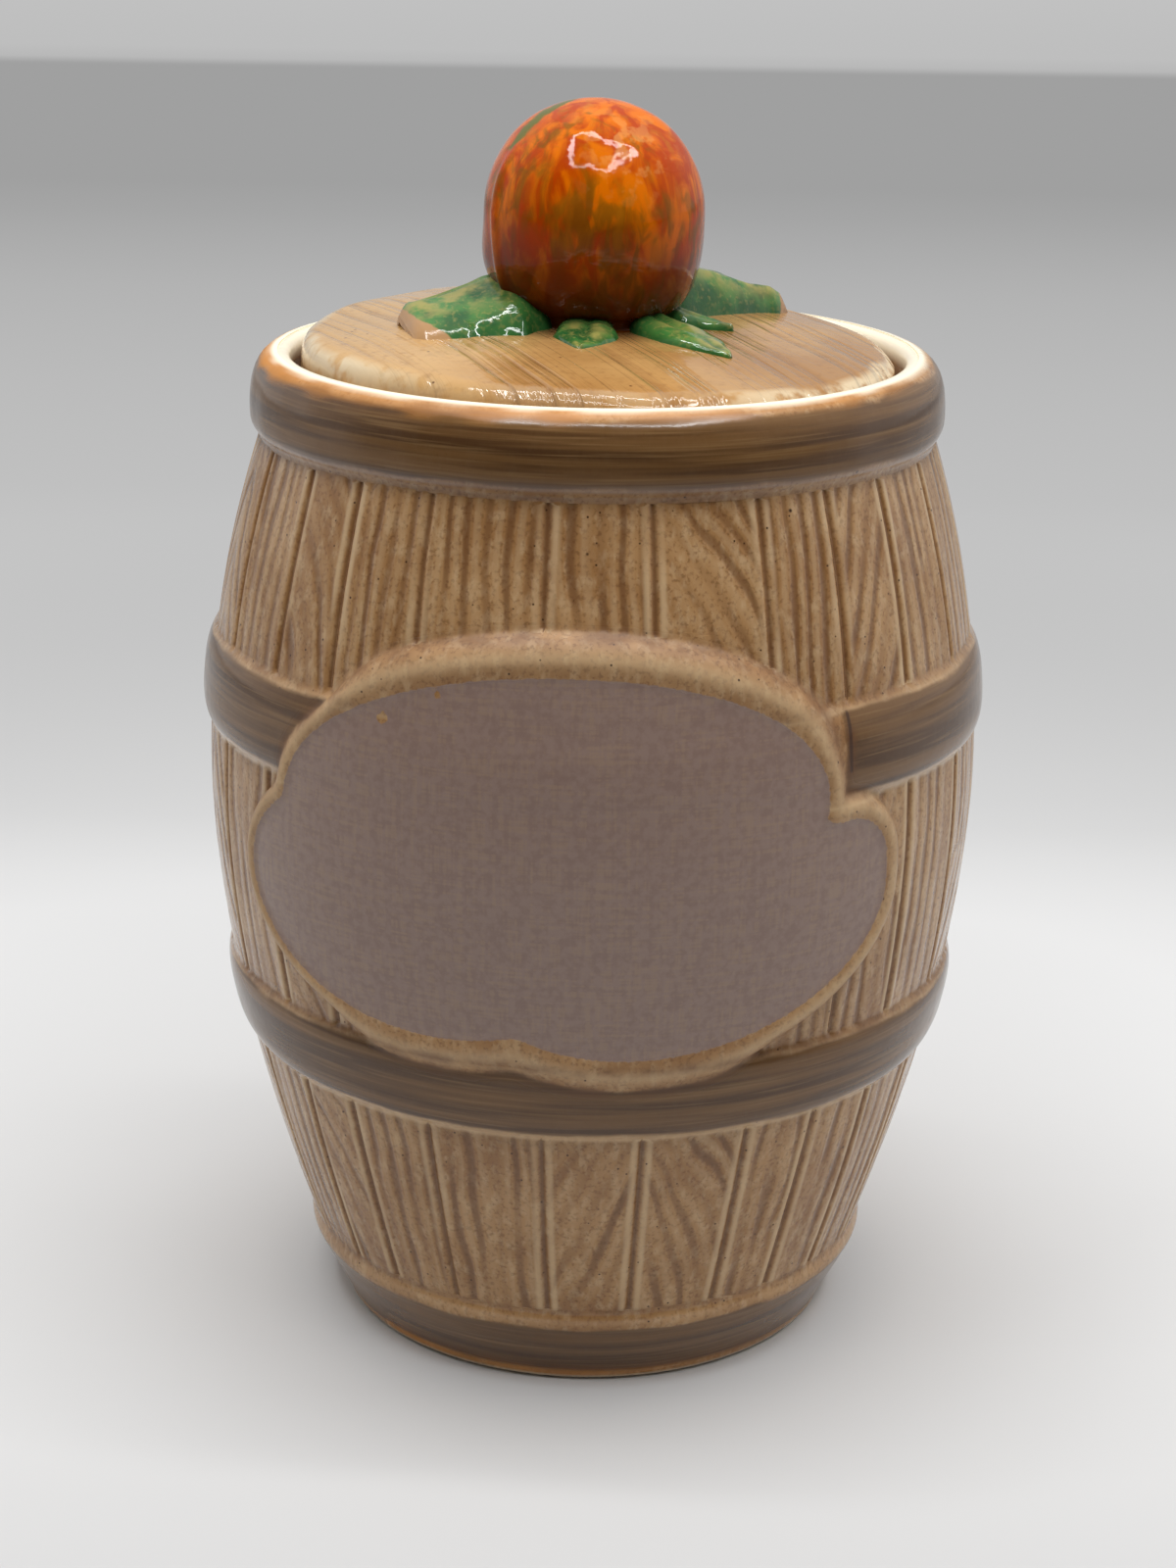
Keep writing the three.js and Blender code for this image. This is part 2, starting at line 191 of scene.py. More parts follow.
class NoiseField:
    """Smooth seeded noise from -1 to 1 on a plane that repeats after a number of cells."""

    CELLS = 64

    def __init__(self, seed: Seed) -> None:
        """Fills the lattice from a seed."""
        self.lattice = np.random.default_rng(seed.value).uniform(-1.0, 1.0, (self.CELLS, self.CELLS))

    def at(self, across: Array, along: Array) -> Array:
        """Noise at points of the plane.

        Args:
            across: First coordinates, in cells.
            along: Second coordinates, in cells.

        Returns:
            One value for each point.
        """
        column, row = np.floor(across), np.floor(along)
        u, v = across - column, along - row
        u, v = u * u * (3 - 2 * u), v * v * (3 - 2 * v)
        i, j = column.astype(int) % self.CELLS, row.astype(int) % self.CELLS
        i2, j2 = (i + 1) % self.CELLS, (j + 1) % self.CELLS
        low = self.lattice[i, j] * (1 - u) + self.lattice[i2, j] * u
        high = self.lattice[i, j2] * (1 - u) + self.lattice[i2, j2] * u
        return low * (1 - v) + high * v


@dataclass(frozen=True)
class StaveForm:
    """The barrel's staves: their outline, grooves and pressed grain, in millimetres and degrees."""

    belly_radius: float = 51.5
    belly_height: float = 77.0
    waist_radius: float = 38.8
    waist_height: float = 12.9
    neck_radius: float = 44.0
    neck_height: float = 123.0
    lower_bow: float = 1.75
    upper_bow: float = 2.05
    front_grooves: tuple[float, ...] = (-46.0, -34.3, -19.8, -1.2, 14.5, 31.5, 44.5, 57.0, 72.0)
    back_staves: int = 16
    columns: int = 28
    crowding: float = 0.55
    groove_depth: float = 0.36
    groove_width: float = 0.42
    grain_pitch: float = 2.5
    grain_depth: float = 0.15
    grain_middle: float = 70.0
    grain_top: float = 120.0
    grain_low: float = 42.0
    sway: float = 0.4
    sway_run: float = 23.0
    sway_step: float = 3.7
    wander: float = 0.9
    quiver: float = 0.35
    fall_depth: float = 14.4
    fall_run: float = 18.0
    fall_slope: float = 0.6
    rising_slope: float = 0.42
    peak_slope: float = 0.3
    slant_pitch: float = 0.8
    stave_shift: float = 0.37
    faintest: float = 0.25
    fade_run: float = 13.0
    upper_grain: tuple[Grain, ...] = (
        Grain.FALLING, Grain.STRAIGHT, Grain.STRAIGHT, Grain.STRAIGHT, Grain.FALLING, Grain.STRAIGHT,
        Grain.RISING, Grain.STRAIGHT, Grain.STRAIGHT, Grain.STRAIGHT, Grain.PEAKED, Grain.STRAIGHT,
    )
    lower_grain: tuple[Grain, ...] = (
        Grain.FALLING, Grain.STRAIGHT, Grain.STRAIGHT, Grain.RISING, Grain.FALLING, Grain.STRAIGHT,
        Grain.STRAIGHT, Grain.STRAIGHT, Grain.RISING, Grain.STRAIGHT, Grain.PEAKED, Grain.STRAIGHT,
    )

    @property
    def grooves(self) -> Array:
        """Azimuths of the grooves in radians, once round, with the first one repeated."""
        behind = np.linspace(self.front_grooves[-1], self.front_grooves[0] + 360.0, self.back_staves + 1)
        return np.radians(np.concatenate([self.front_grooves, behind[1:]]))

    @property
    def turn(self) -> int:
        """Number of vertex columns in a full turn."""
        return (len(self.grooves) - 1) * self.columns

    @property
    def start(self) -> float:
        """Azimuth of the first column, in radians."""
        return float(self.grooves[0])

    @property
    def round(self) -> "Turn":
        """A full turn with one sector to a stave."""
        return Turn.full(self.turn, self.turn // self.columns, self.start)

    def radius(self, height: Array) -> Array:
        """Outer radius of the staves without their relief.

        Args:
            height: Heights above the foot.

        Returns:
            One radius for each height.
        """
        fall = np.maximum(self.belly_height - height, 0.0) / (self.belly_height - self.waist_height)
        climb = np.maximum(height - self.belly_height, 0.0) / (self.neck_height - self.belly_height)
        lower = (self.belly_radius - self.waist_radius) * fall**self.lower_bow
        upper = (self.belly_radius - self.neck_radius) * climb**self.upper_bow
        return self.belly_radius - lower - upper

    def place(self, column: Array, height: Array) -> tuple[Array, Array, Array]:
        """Where a column of vertices lies.

        Args:
            column: Column numbers.
            height: Heights of the vertices.

        Returns:
            Azimuths in radians, stave numbers, and shares across the stave.
        """
        stave = column // self.columns
        even = (column % self.columns) / self.columns
        share = even - self.crowding * np.sin(2 * np.pi * even) / (2 * np.pi)
        noise = NoiseField(Seed.SWAY)
        run = height / self.sway_run
        left = noise.at(stave * self.sway_step, run)
        right = noise.at((stave + 1) % (len(self.grooves) - 1) * self.sway_step, run)
        drift = self.sway * ((1 - share) * left + share * right) / self.radius(height)
        edges = self.grooves
        return edges[stave] + (edges[stave + 1] - edges[stave]) * share + drift, stave, share

    def grain_phase(self, stave: Array, across: Array, height: Array) -> Array:
        """Phase of the grain lines, one unit from line to line.

        Args:
            stave: Stave numbers.
            across: Distances from the stave's middle.
            height: Heights above the foot.

        Returns:
            One phase for each point.
        """
        bend = NoiseField(Seed.BEND)
        sideways = across + self.wander * bend.at(across / 5.0 + stave * 5.3, height / 17.0)
        sideways = sideways + self.quiver * bend.at(across / 2.0 + stave * 2.9, height / 6.0 + 20.0)
        rise = height - self.grain_middle
        drop = np.where(rise > 0, self.grain_top, self.grain_low) - height
        fall = self.fall_depth * (1.0 - np.exp(-np.maximum(drop, 0.0) / self.fall_run))
        fall = fall + self.fall_slope * np.minimum(drop, 0.0)
        peak = np.sqrt((across * 0.9) ** 2 + 1.2)
        peak = peak + self.wander * bend.at(across / 6.0 + stave * 1.7, height / 9.0)
        patterns = {
            Grain.STRAIGHT: sideways,
            Grain.FALLING: self.slant_pitch * (sideways - fall),
            Grain.RISING: self.slant_pitch * (sideways + self.rising_slope * drop),
            Grain.PEAKED: peak + self.peak_slope * rise,
        }
        count = len(self.upper_grain)
        phase = np.zeros_like(across)
        for number in range(count):
            here = stave % count == number
            above, below = patterns[self.upper_grain[number]], patterns[self.lower_grain[number]]
            phase = np.where(here, np.where(rise > 0, above, below), phase)
        return phase / self.grain_pitch + stave * self.stave_shift

    def grain_strength(self, stave: Array, phase: Array, height: Array) -> Array:
        """How deep each grain line is pressed, from 0 to 1, as it comes and goes along its length.

        Args:
            stave: Stave numbers.
            phase: Phases of the grain.
            height: Heights above the foot.

        Returns:
            One share for each point.
        """
        fade = NoiseField(Seed.FADE).at(np.round(phase) * 2.7 + stave * 7.1, height / self.fade_run)
        return self.faintest + (1.0 - self.faintest) * smooth_step(-0.5, 0.45, fade)


@dataclass(frozen=True)
class HoopForm:
    """A hoop moulded round the staves, in millimetres."""

    bottom: float
    top: float
    rise: float
    flatness: float = 3.2
    roundness: float = 0.75

    def inside(self, height: Array) -> Array:
        """Distance from the hoop's nearer edge, above 0 inside the hoop."""
        return (self.top - self.bottom) / 2 - np.abs(height - (self.top + self.bottom) / 2)

    def lift(self, height: Array) -> Array:
        """Height of the hoop's face over the staves.

        Args:
            height: Heights above the foot.

        Returns:
            The lift inside the hoop, and a steep fall below 0 outside it.
        """
        half = (self.top - self.bottom) / 2
        inside = self.inside(height)
        share = np.clip(1.0 - inside / half, 0.0, 1.0)
        face = self.rise * (1.0 - share**self.flatness) ** self.roundness
        return face + np.minimum(inside, 0.0) * OUTER_FALL


@dataclass(frozen=True)
class Lobe:
    """One round lobe of the label, by arc length along the belly and height, in millimetres."""

    arc: float
    height: float
    half_width: float
    half_height: float
    tilt: float = 0.0

    def distance(self, arc: Array, height: Array) -> Array:
        """Distance outside the lobe's edge, below 0 inside it.

        Args:
            arc: Arc lengths along the belly.
            height: Heights above the foot.

        Returns:
            One distance for each point.
        """
        turn = math.radians(self.tilt)
        right, up = arc - self.arc, height - self.height
        x = (right * math.cos(turn) + up * math.sin(turn)) / self.half_width
        y = (up * math.cos(turn) - right * math.sin(turn)) / self.half_height
        near = np.sqrt(x * x + y * y) + 1e-6
        slope = np.sqrt((x / self.half_width) ** 2 + (y / self.half_height) ** 2) + 1e-6
        return near * (near - 1.0) / slope


@dataclass(frozen=True)
class LabelForm:
    """The label: a raised plaque of round lobes whose rounded border stands over a bare print."""

    arc_radius: float = 53.0
    lobes: tuple[Lobe, ...] = (
        Lobe(-0.5, 84.2, 36.7, 18.2, 3.4),
        Lobe(18.0, 69.1, 28.4, 14.7, 11.0),
        Lobe(-16.2, 71.4, 27.8, 16.1, -3.1),
        Lobe(39.7, 76.5, 6.2, 6.2),
    )
    notch: float = 0.8
    border: float = 4.2
    left_border: float = 1.9
    right_border: float = 2.6
    narrow_from: float = 22.0
    narrow_to: float = 33.0
    narrow_levels: tuple[float, float] = (98.0, 90.0)
    crest: float = 0.45
    edge_run: float = 0.5
    dip_start: float = -0.9
    rise: float = 2.0
    field_rise: float = 1.55
    chips: tuple[tuple[float, float, float], ...] = ((-23.2, 95.7, 0.75), (-15.1, 99.4, 0.5))

    def distance(self, azimuth: Array, height: Array) -> Array:
        """Distance outside the print's edge, below 0 on the print.

        Args:
            azimuth: Azimuths in radians.
            height: Heights above the foot.

        Returns:
            One distance for each point.
        """
        arc = self.arc_radius * azimuth
        edge = -self.lobes[0].distance(arc, height)
        for lobe in self.lobes[1:]:
            edge = soft_max(edge, -lobe.distance(arc, height), self.notch)
        return -edge

    def width(self, azimuth: Array, height: Array) -> Array:
        """Width of the border, which is narrower at the label's two ends.

        Args:
            azimuth: Azimuths in radians.
            height: Heights above the foot.

        Returns:
            One width for each point.
        """
        arc = self.arc_radius * azimuth
        left = (self.left_border - self.border) * smooth_step(-self.narrow_from, -self.narrow_to, arc)
        right = (self.right_border - self.border) * smooth_step(self.narrow_from, self.narrow_to, arc)
        return self.border + left + right * smooth_step(*self.narrow_levels, height)

    def lift(self, distance: Array, width: Array) -> Array:
        """Height of the plaque over the staves.

        Args:
            distance: Distances outside the print's edge.
            width: Widths of the border.

        Returns:
            The lift on the plaque, and a steep fall below 0 outside it.
        """
        crest = self.crest * width
        reach = width - crest + self.edge_run
        out = np.clip((distance - crest) / reach, 0.0, 1.0)
        shoulder = self.rise * np.sqrt(1.0 - out * out)
        dip = (self.rise - self.field_rise) * (1.0 - smooth_step(self.dip_start, crest, distance))
        return shoulder - dip - np.maximum(distance - crest - reach, 0.0) * OUTER_FALL

    def print_edge(self, azimuth: Array, height: Array) -> Array:
        """Distance inside the print's edge, with its chips taken out.

        Args:
            azimuth: Azimuths in radians.
            height: Heights above the foot.

        Returns:
            One distance for each point.
        """
        edge = -self.distance(azimuth, height)
        for place, level, size in self.chips:
            away = np.hypot(self.arc_radius * (azimuth - math.radians(place)), height - level)
            edge = np.minimum(edge, away - size)
        return edge


@dataclass(frozen=True)
class Skin:
    """The jar's outside at a set of vertices."""

    azimuth: Array
    staves: Array
    hoops: Array
    whole: Array
    label: Array
    channels: dict[Channel, Array]


@dataclass(frozen=True)
class JarSurface:
    """The jar's outside between foot and rim, as one relief that its pieces share, in millimetres.

    The dab of glaze at the end of the upper hoop is given by azimuth in degrees, height and half height.
    """

    staves: StaveForm = field(default_factory=StaveForm)
    upper: HoopForm = HoopForm(84.7, 96.7, 1.25)
    lower: HoopForm = HoopForm(41.4, 52.4, 1.25)
    label: LabelForm = field(default_factory=LabelForm)
    hoop_fillet: float = 0.35
    label_fillet: float = 0.9
    foot_end: tuple[float, float] = (11.9, 12.9)
    neck_end: tuple[float, float] = (123.4, 121.8)
    stave_step: float = 0.14
    step_run: tuple[float, float] = (0.4, 3.0)
    shoulder_rise: float = 0.05
    shoulder_place: float = 1.1
    shoulder_width: float = 0.5
    grain_clear: tuple[float, float] = (0.6, 1.9)
    wood_clear: tuple[float, float] = (-0.7, 0.1)
    least_wood: float = 0.02
    hoop_pool: float = 0.75
    upper_pool: float = 0.6
    plaque_pool: float = 0.8
    plaque_gap: float = 0.35
    foot_pool: tuple[float, float] = (13.0, 0.8)
    neck_pool: tuple[float, float] = (122.2, 0.9)
    neck_pool_share: float = 0.7
    dab: tuple[float, float, float] = (43.2, 92.2, 4.3)
    dab_width: float = 0.75
    dab_soft: float = 0.8
    dab_pool: float = 1.3
    hoop_crest: tuple[float, float] = (0.7, 0.4)
    hoop_crest_share: float = 0.8
    # Share of the painted highlight along the hoops' lower edges.
    lower_edge_highlight_share: float = 1.4
    plaque_crest: tuple[float, float] = (0.55, 0.9)
    dull_inner: tuple[float, float] = (-0.5, 0.6)
    dull_outer: tuple[float, float] = (2.2, 0.6)
    paint_inset: float = 0.65
    paint_gap: float = 0.2
    paint_past: float = 1.0

    def pressed(self, stave: Array, groove: Array, phase: Array, strength: Array) -> Array:
        """Relief of the staves: their grooves with raised shoulders, their uneven levels and their grain.

        Args:
            stave: Stave numbers.
            groove: Distances from the nearer groove.
            phase: Phases of the grain.
            strength: Depths of the grain from 0 to 1.

        Returns:
            One height for each point.
        """
        form = self.staves
        lines = smooth_step(0.0, 1.0, np.cos(2 * np.pi * phase))
        draws = np.random.default_rng(Seed.LEVEL.value)
        level = draws.uniform(-self.stave_step, self.stave_step, len(form.grooves))[stave]
        shoulder = self.shoulder_rise * bell(groove - self.shoulder_place, self.shoulder_width)
        relief = -form.groove_depth * bell(groove, form.groove_width)
        relief = relief + shoulder + level * smooth_step(*self.step_run, groove)
        return relief - form.grain_depth * lines * strength

    def pools(self, height: Array, beyond: Array, past: Array) -> Array:
        """Where the glaze pools: over the hoops, round the plaque, at the staves' ends and in the dab.

        Args:
            height: Heights above the foot.
            beyond: Distances outside the plaque.
            past: Distances to the right of the dab.

        Returns:
            Shares from 0 to 1, and more than 1 in the dab.
        """
        upper = self.upper_pool * bell(height - self.upper.top, self.hoop_pool)
        hoops = np.maximum(upper, bell(height - self.lower.top, self.hoop_pool))
        edges = np.maximum(hoops, bell(beyond, self.plaque_pool))
        foot = bell(height - self.foot_pool[0], self.foot_pool[1])
        neck = self.neck_pool_share * bell(height - self.neck_pool[0], self.neck_pool[1])
        middle, half = self.dab[1:]
        span = smooth_step(half + self.dab_soft, half - self.dab_soft, np.abs(height - middle))
        dab = self.dab_pool * (bell(past, self.dab_width) * span)
        ends = np.maximum(foot, neck)
        return np.clip(np.maximum(np.maximum(edges, ends), dab), 0.0, self.dab_pool)

    def crests(self, height: Array, inside: Array, away: Array, border: Array) -> Array:
        """Where the glaze runs thin and pale: along the hoops' edges and the plaque's border, with a painted
        highlight along the hoops' lower edges.

        Args:
            height: Heights above the foot.
            inside: Distances inside the nearer hoop.
            away: Distances outside the print.
            border: Widths of the plaque's border.

        Returns:
            One share for each point.
        """
        place, width = self.hoop_crest
        # Painted highlight along the lower edges of both hoops.
        lower = bell(height - self.lower.bottom, width)
        under = np.maximum(bell(height - self.upper.bottom, width), lower)
        share, breadth = self.plaque_crest
        ridge = bell(away - share * border, breadth) * smooth_step(-2, 0, away)
        hoops = np.maximum(self.hoop_crest_share * bell(place - inside, width), self.lower_edge_highlight_share * under)
        return np.maximum(hoops, ridge)

    def sample(self, column: Array, height: Array) -> Skin:
        """The surface at vertices given by column and height.

        Args:
            column: Column numbers.
            height: Heights above the foot.

        Returns:
            Radii with and without hoops and label, and the glaze's channels.
        """
        form = self.staves
        azimuth, stave, share = form.place(column, height)
        turn = wrapped(azimuth)
        plain = form.radius(height)
        width = (form.grooves[stave + 1] - form.grooves[stave]) * plain
        groove = np.minimum(share, 1 - share) * width
        ends = smooth_step(*self.foot_end, height) * smooth_step(*self.neck_end, height)
        phase = form.grain_phase(stave, (share - 0.5) * width, height)
        strength = form.grain_strength(stave, phase, height) * smooth_step(*self.grain_clear, groove)
        relief = self.pressed(stave, groove, phase, strength) * ends
        hoop_lift = np.maximum(self.upper.lift(height), self.lower.lift(height))
        inside = np.maximum(self.upper.inside(height), self.lower.inside(height))
        away = self.label.distance(turn, height)
        border = self.label.width(turn, height)
        plaque_lift = self.label.lift(away, border)
        hoops = soft_max(relief, hoop_lift, self.hoop_fillet)
        whole = soft_max(hoops, plaque_lift, self.label_fillet)
        wood = 1.0 - smooth_step(*self.wood_clear, np.maximum(hoop_lift, plaque_lift) - relief)
        past = self.label.arc_radius * (turn - math.radians(self.dab[0]))
        paint = np.minimum(inside - self.paint_inset, away - border - self.paint_gap)
        upper_right = (height > form.grain_middle) & (turn > 0)
        bare = BARE[Channel.GROOVE]
        channels = {
            Channel.GRAIN: phase,
            Channel.WOOD: wood * strength * ends,
            Channel.GROOVE: np.where(wood > self.least_wood, groove / np.maximum(wood * ends, 0.05), bare),
            Channel.POOL_AND_SHADE: self.pools(height, away - border - self.plaque_gap, past),
            Channel.CREST: self.crests(height, inside, away, border),
            Channel.DULL: smooth_step(*self.dull_inner, away) * smooth_step(*self.dull_outer, away - border),
            Channel.PAINT: np.where(upper_right, np.minimum(paint, past + self.paint_past), paint),
            Channel.PRINT: self.label.print_edge(turn, height),
        }
        return Skin(azimuth, plain + relief, plain + hoops, plain + whole, away, channels)


@dataclass(frozen=True)
class Cloud:
    """A soft pattern in a glaze: noise in cells per metre, stepped from low to high up to a top share."""

    scale: float | tuple[float, float, float]
    low: float
    high: float
    top: float = 1.0
    detail: float = 3.0
    turn: float = 0.0
    warp: float = 0.0


@dataclass(frozen=True)
class Fray:
    """A frayed edge of paint: noise in cells per metre, its size in millimetres and the edge's step."""

    scale: float | tuple[float, float, float]
    detail: float
    size: float
    low: float
    high: float
    top: float = 1.0


@dataclass(frozen=True)
class Ripple:
    """A glaze's uneven surface: noise in cells per metre, how much of it shows, and its depth in metres."""

    scale: float
    detail: float
    strength: float
    depth: float


@dataclass(frozen=True)
class Specks:
    """Small round specks: cells per metre, radius in cells, share of cells with one, and its full core."""

    scale: float
    size: float
    share: float
    core: float = 0.4


class NodeSketch:
    """A material's node tree, drawn one node at a time."""

    MIDDLE = 0.5

    def __init__(self, name: str) -> None:
        """Starts a material with a principled shader."""
        self.material = bpy.data.materials.new(name)
        self.material.use_nodes = True
        self.tree = self.material.node_tree
        self.tree.nodes.clear()
        self.shader = self.tree.nodes.new("ShaderNodeBsdfPrincipled")
        self.output = self.tree.nodes.new("ShaderNodeOutputMaterial")
        self.tree.links.new(self.shader.outputs["BSDF"], self.output.inputs["Surface"])
        self.place = self.node("ShaderNodeTexCoord").outputs["Object"]

    def feed(self, socket: bpy.types.NodeSocket, value: object) -> None:
        """Links a socket into another one, or sets its constant."""
        if isinstance(value, bpy.types.NodeSocket):
            self.tree.links.new(value, socket)
        else:
            socket.default_value = value

    def node(self, kind: str, inputs: Mapping | None = None, **settings: object) -> bpy.types.Node:
        """Adds a node.

        Args:
            kind: The node's type.
            inputs: Values or sockets for its inputs, by name or number.
            **settings: The node's own settings.

        Returns:
            The new node.
        """
        made = self.tree.nodes.new(kind)
        for key, value in settings.items():
            setattr(made, key, value)
        for key, value in (inputs or {}).items():
            self.feed(made.inputs[key], value)
        return made

    def surface(self, **inputs: object) -> None:
        """Sets the shader's inputs, named with underscores for spaces."""
        for key, value in inputs.items():
            self.feed(self.shader.inputs[key.replace("_", " ")], value)

    def channel(self, name: Channel) -> bpy.types.NodeSocket:
        """The number that the vertices carry under a name."""
        return self.node("ShaderNodeAttribute", attribute_name=name.value).outputs["Fac"]

    def stretched(self, scale: Sequence[float], turn: float = 0.0) -> bpy.types.NodeSocket:
        """Object coordinates with a pattern's turn about +Z taken off, then scaled by axis."""
        sizes = tuple(1.0 / value for value in scale)
        inputs = {"Vector": self.place, "Scale": sizes, "Rotation": (0.0, 0.0, math.radians(turn))}
        return self.node("ShaderNodeMapping", inputs, vector_type="TEXTURE").outputs["Vector"]

    def noise(
        self, scale: float | Sequence[float], detail: float = 2.0, turn: float = 0.0, warp: float = 0.0
    ) -> bpy.types.NodeSocket:
        """Noise over the piece.

        Args:
            scale: Cells per metre, for all axes or for each.
            detail: Octaves of finer noise.
            turn: Turn of the pattern about +Z, in degrees.
            warp: Distortion of the pattern.

        Returns:
            The noise's number, about 0.5 in the middle.
        """
        axes = (scale,) * 3 if isinstance(scale, (int, float)) else scale
        inputs = {"Vector": self.stretched(axes, turn), "Scale": 1.0, "Detail": detail, "Distortion": warp}
        return self.node("ShaderNodeTexNoise", inputs).outputs[0]

    def math(self, operation: str, first: object, second: object = 0.0) -> bpy.types.NodeSocket:
        """The result of an operation on one or two numbers."""
        return self.node("ShaderNodeMath", {0: first, 1: second}, operation=operation).outputs[0]

    def ramp(self, value: object, low: float, high: float, top: float = 1.0) -> bpy.types.NodeSocket:
        """A soft step.

        Args:
            value: The number to step.
            low: Where the step starts.
            high: Where the step ends.
            top: The step's height.

        Returns:
            A number from 0 to top.
        """
        inputs = {"Value": value, "From Min": low, "From Max": high, "To Min": 0.0, "To Max": top}
        kind = "ShaderNodeMapRange"
        return self.node(kind, inputs, interpolation_type="SMOOTHSTEP").outputs["Result"]

    def blend(self, share: object, first: object, second: object) -> bpy.types.NodeSocket:
        """A mix of two colours, all second where the share is 1."""
        inputs = {0: share, 6: first, 7: second}
        return self.node("ShaderNodeMix", inputs, data_type="RGBA").outputs[2]

    def bump(
        self, height: object, strength: float, depth: float, below: object = None
    ) -> bpy.types.NodeSocket:
        """A bumped normal.

        Args:
            height: Height of the surface, from 0 to 1.
            strength: Share of the bump that shows.
            depth: Depth of the bump in metres.
            below: A normal that this one is added to.

        Returns:
            The new normal.
        """
        inputs = {"Height": height, "Strength": strength, "Distance": depth}
        if below is not None:
            inputs["Normal"] = below
        return self.node("ShaderNodeBump", inputs).outputs["Normal"]

    def times(self, first: object, second: object) -> bpy.types.NodeSocket:
        """The product of two numbers."""
        return self.math("MULTIPLY", first, second)

    def rest(self, value: object) -> bpy.types.NodeSocket:
        """What a number leaves of 1."""
        return self.math("SUBTRACT", 1.0, value)

    def cloud(self, form: Cloud) -> bpy.types.NodeSocket:
        """The share of a soft pattern over the piece."""
        noise = self.noise(form.scale, form.detail, form.turn, form.warp)
        return self.ramp(noise, form.low, form.high, form.top)

    def frayed(self, name: Channel, form: Fray) -> bpy.types.NodeSocket:
        """The cover of a paint with a frayed edge.

        Args:
            name: The channel with the distance inside the edge.
            form: How the edge is frayed.

        Returns:
            A number from 0 outside the edge to the form's top inside it.
        """
        rag = self.math("SUBTRACT", self.noise(form.scale, form.detail), self.MIDDLE)
        inside = self.math("ADD", self.channel(name), self.times(rag, form.size))
        return self.ramp(inside, form.low, form.high, form.top)

    def ripple(self, form: Ripple) -> bpy.types.NodeSocket:
        """A normal with a glaze's uneven surface."""
        return self.bump(self.noise(form.scale, form.detail), form.strength, form.depth)

    def specks(self, form: Specks) -> bpy.types.NodeSocket:
        """Small round specks in a share of the cells.

        Args:
            form: The specks' size and number.

        Returns:
            A number that is 1 on a speck.
        """
        cells = self.node("ShaderNodeTexVoronoi", {"Vector": self.place, "Scale": form.scale})
        lot = self.node("ShaderNodeSeparateColor", {"Color": cells.outputs["Color"]}).outputs["Red"]
        drawn = self.math("LESS_THAN", lot, form.share)
        near = self.rest(self.ramp(cells.outputs["Distance"], form.size * form.core, form.size))
        return self.times(near, drawn)


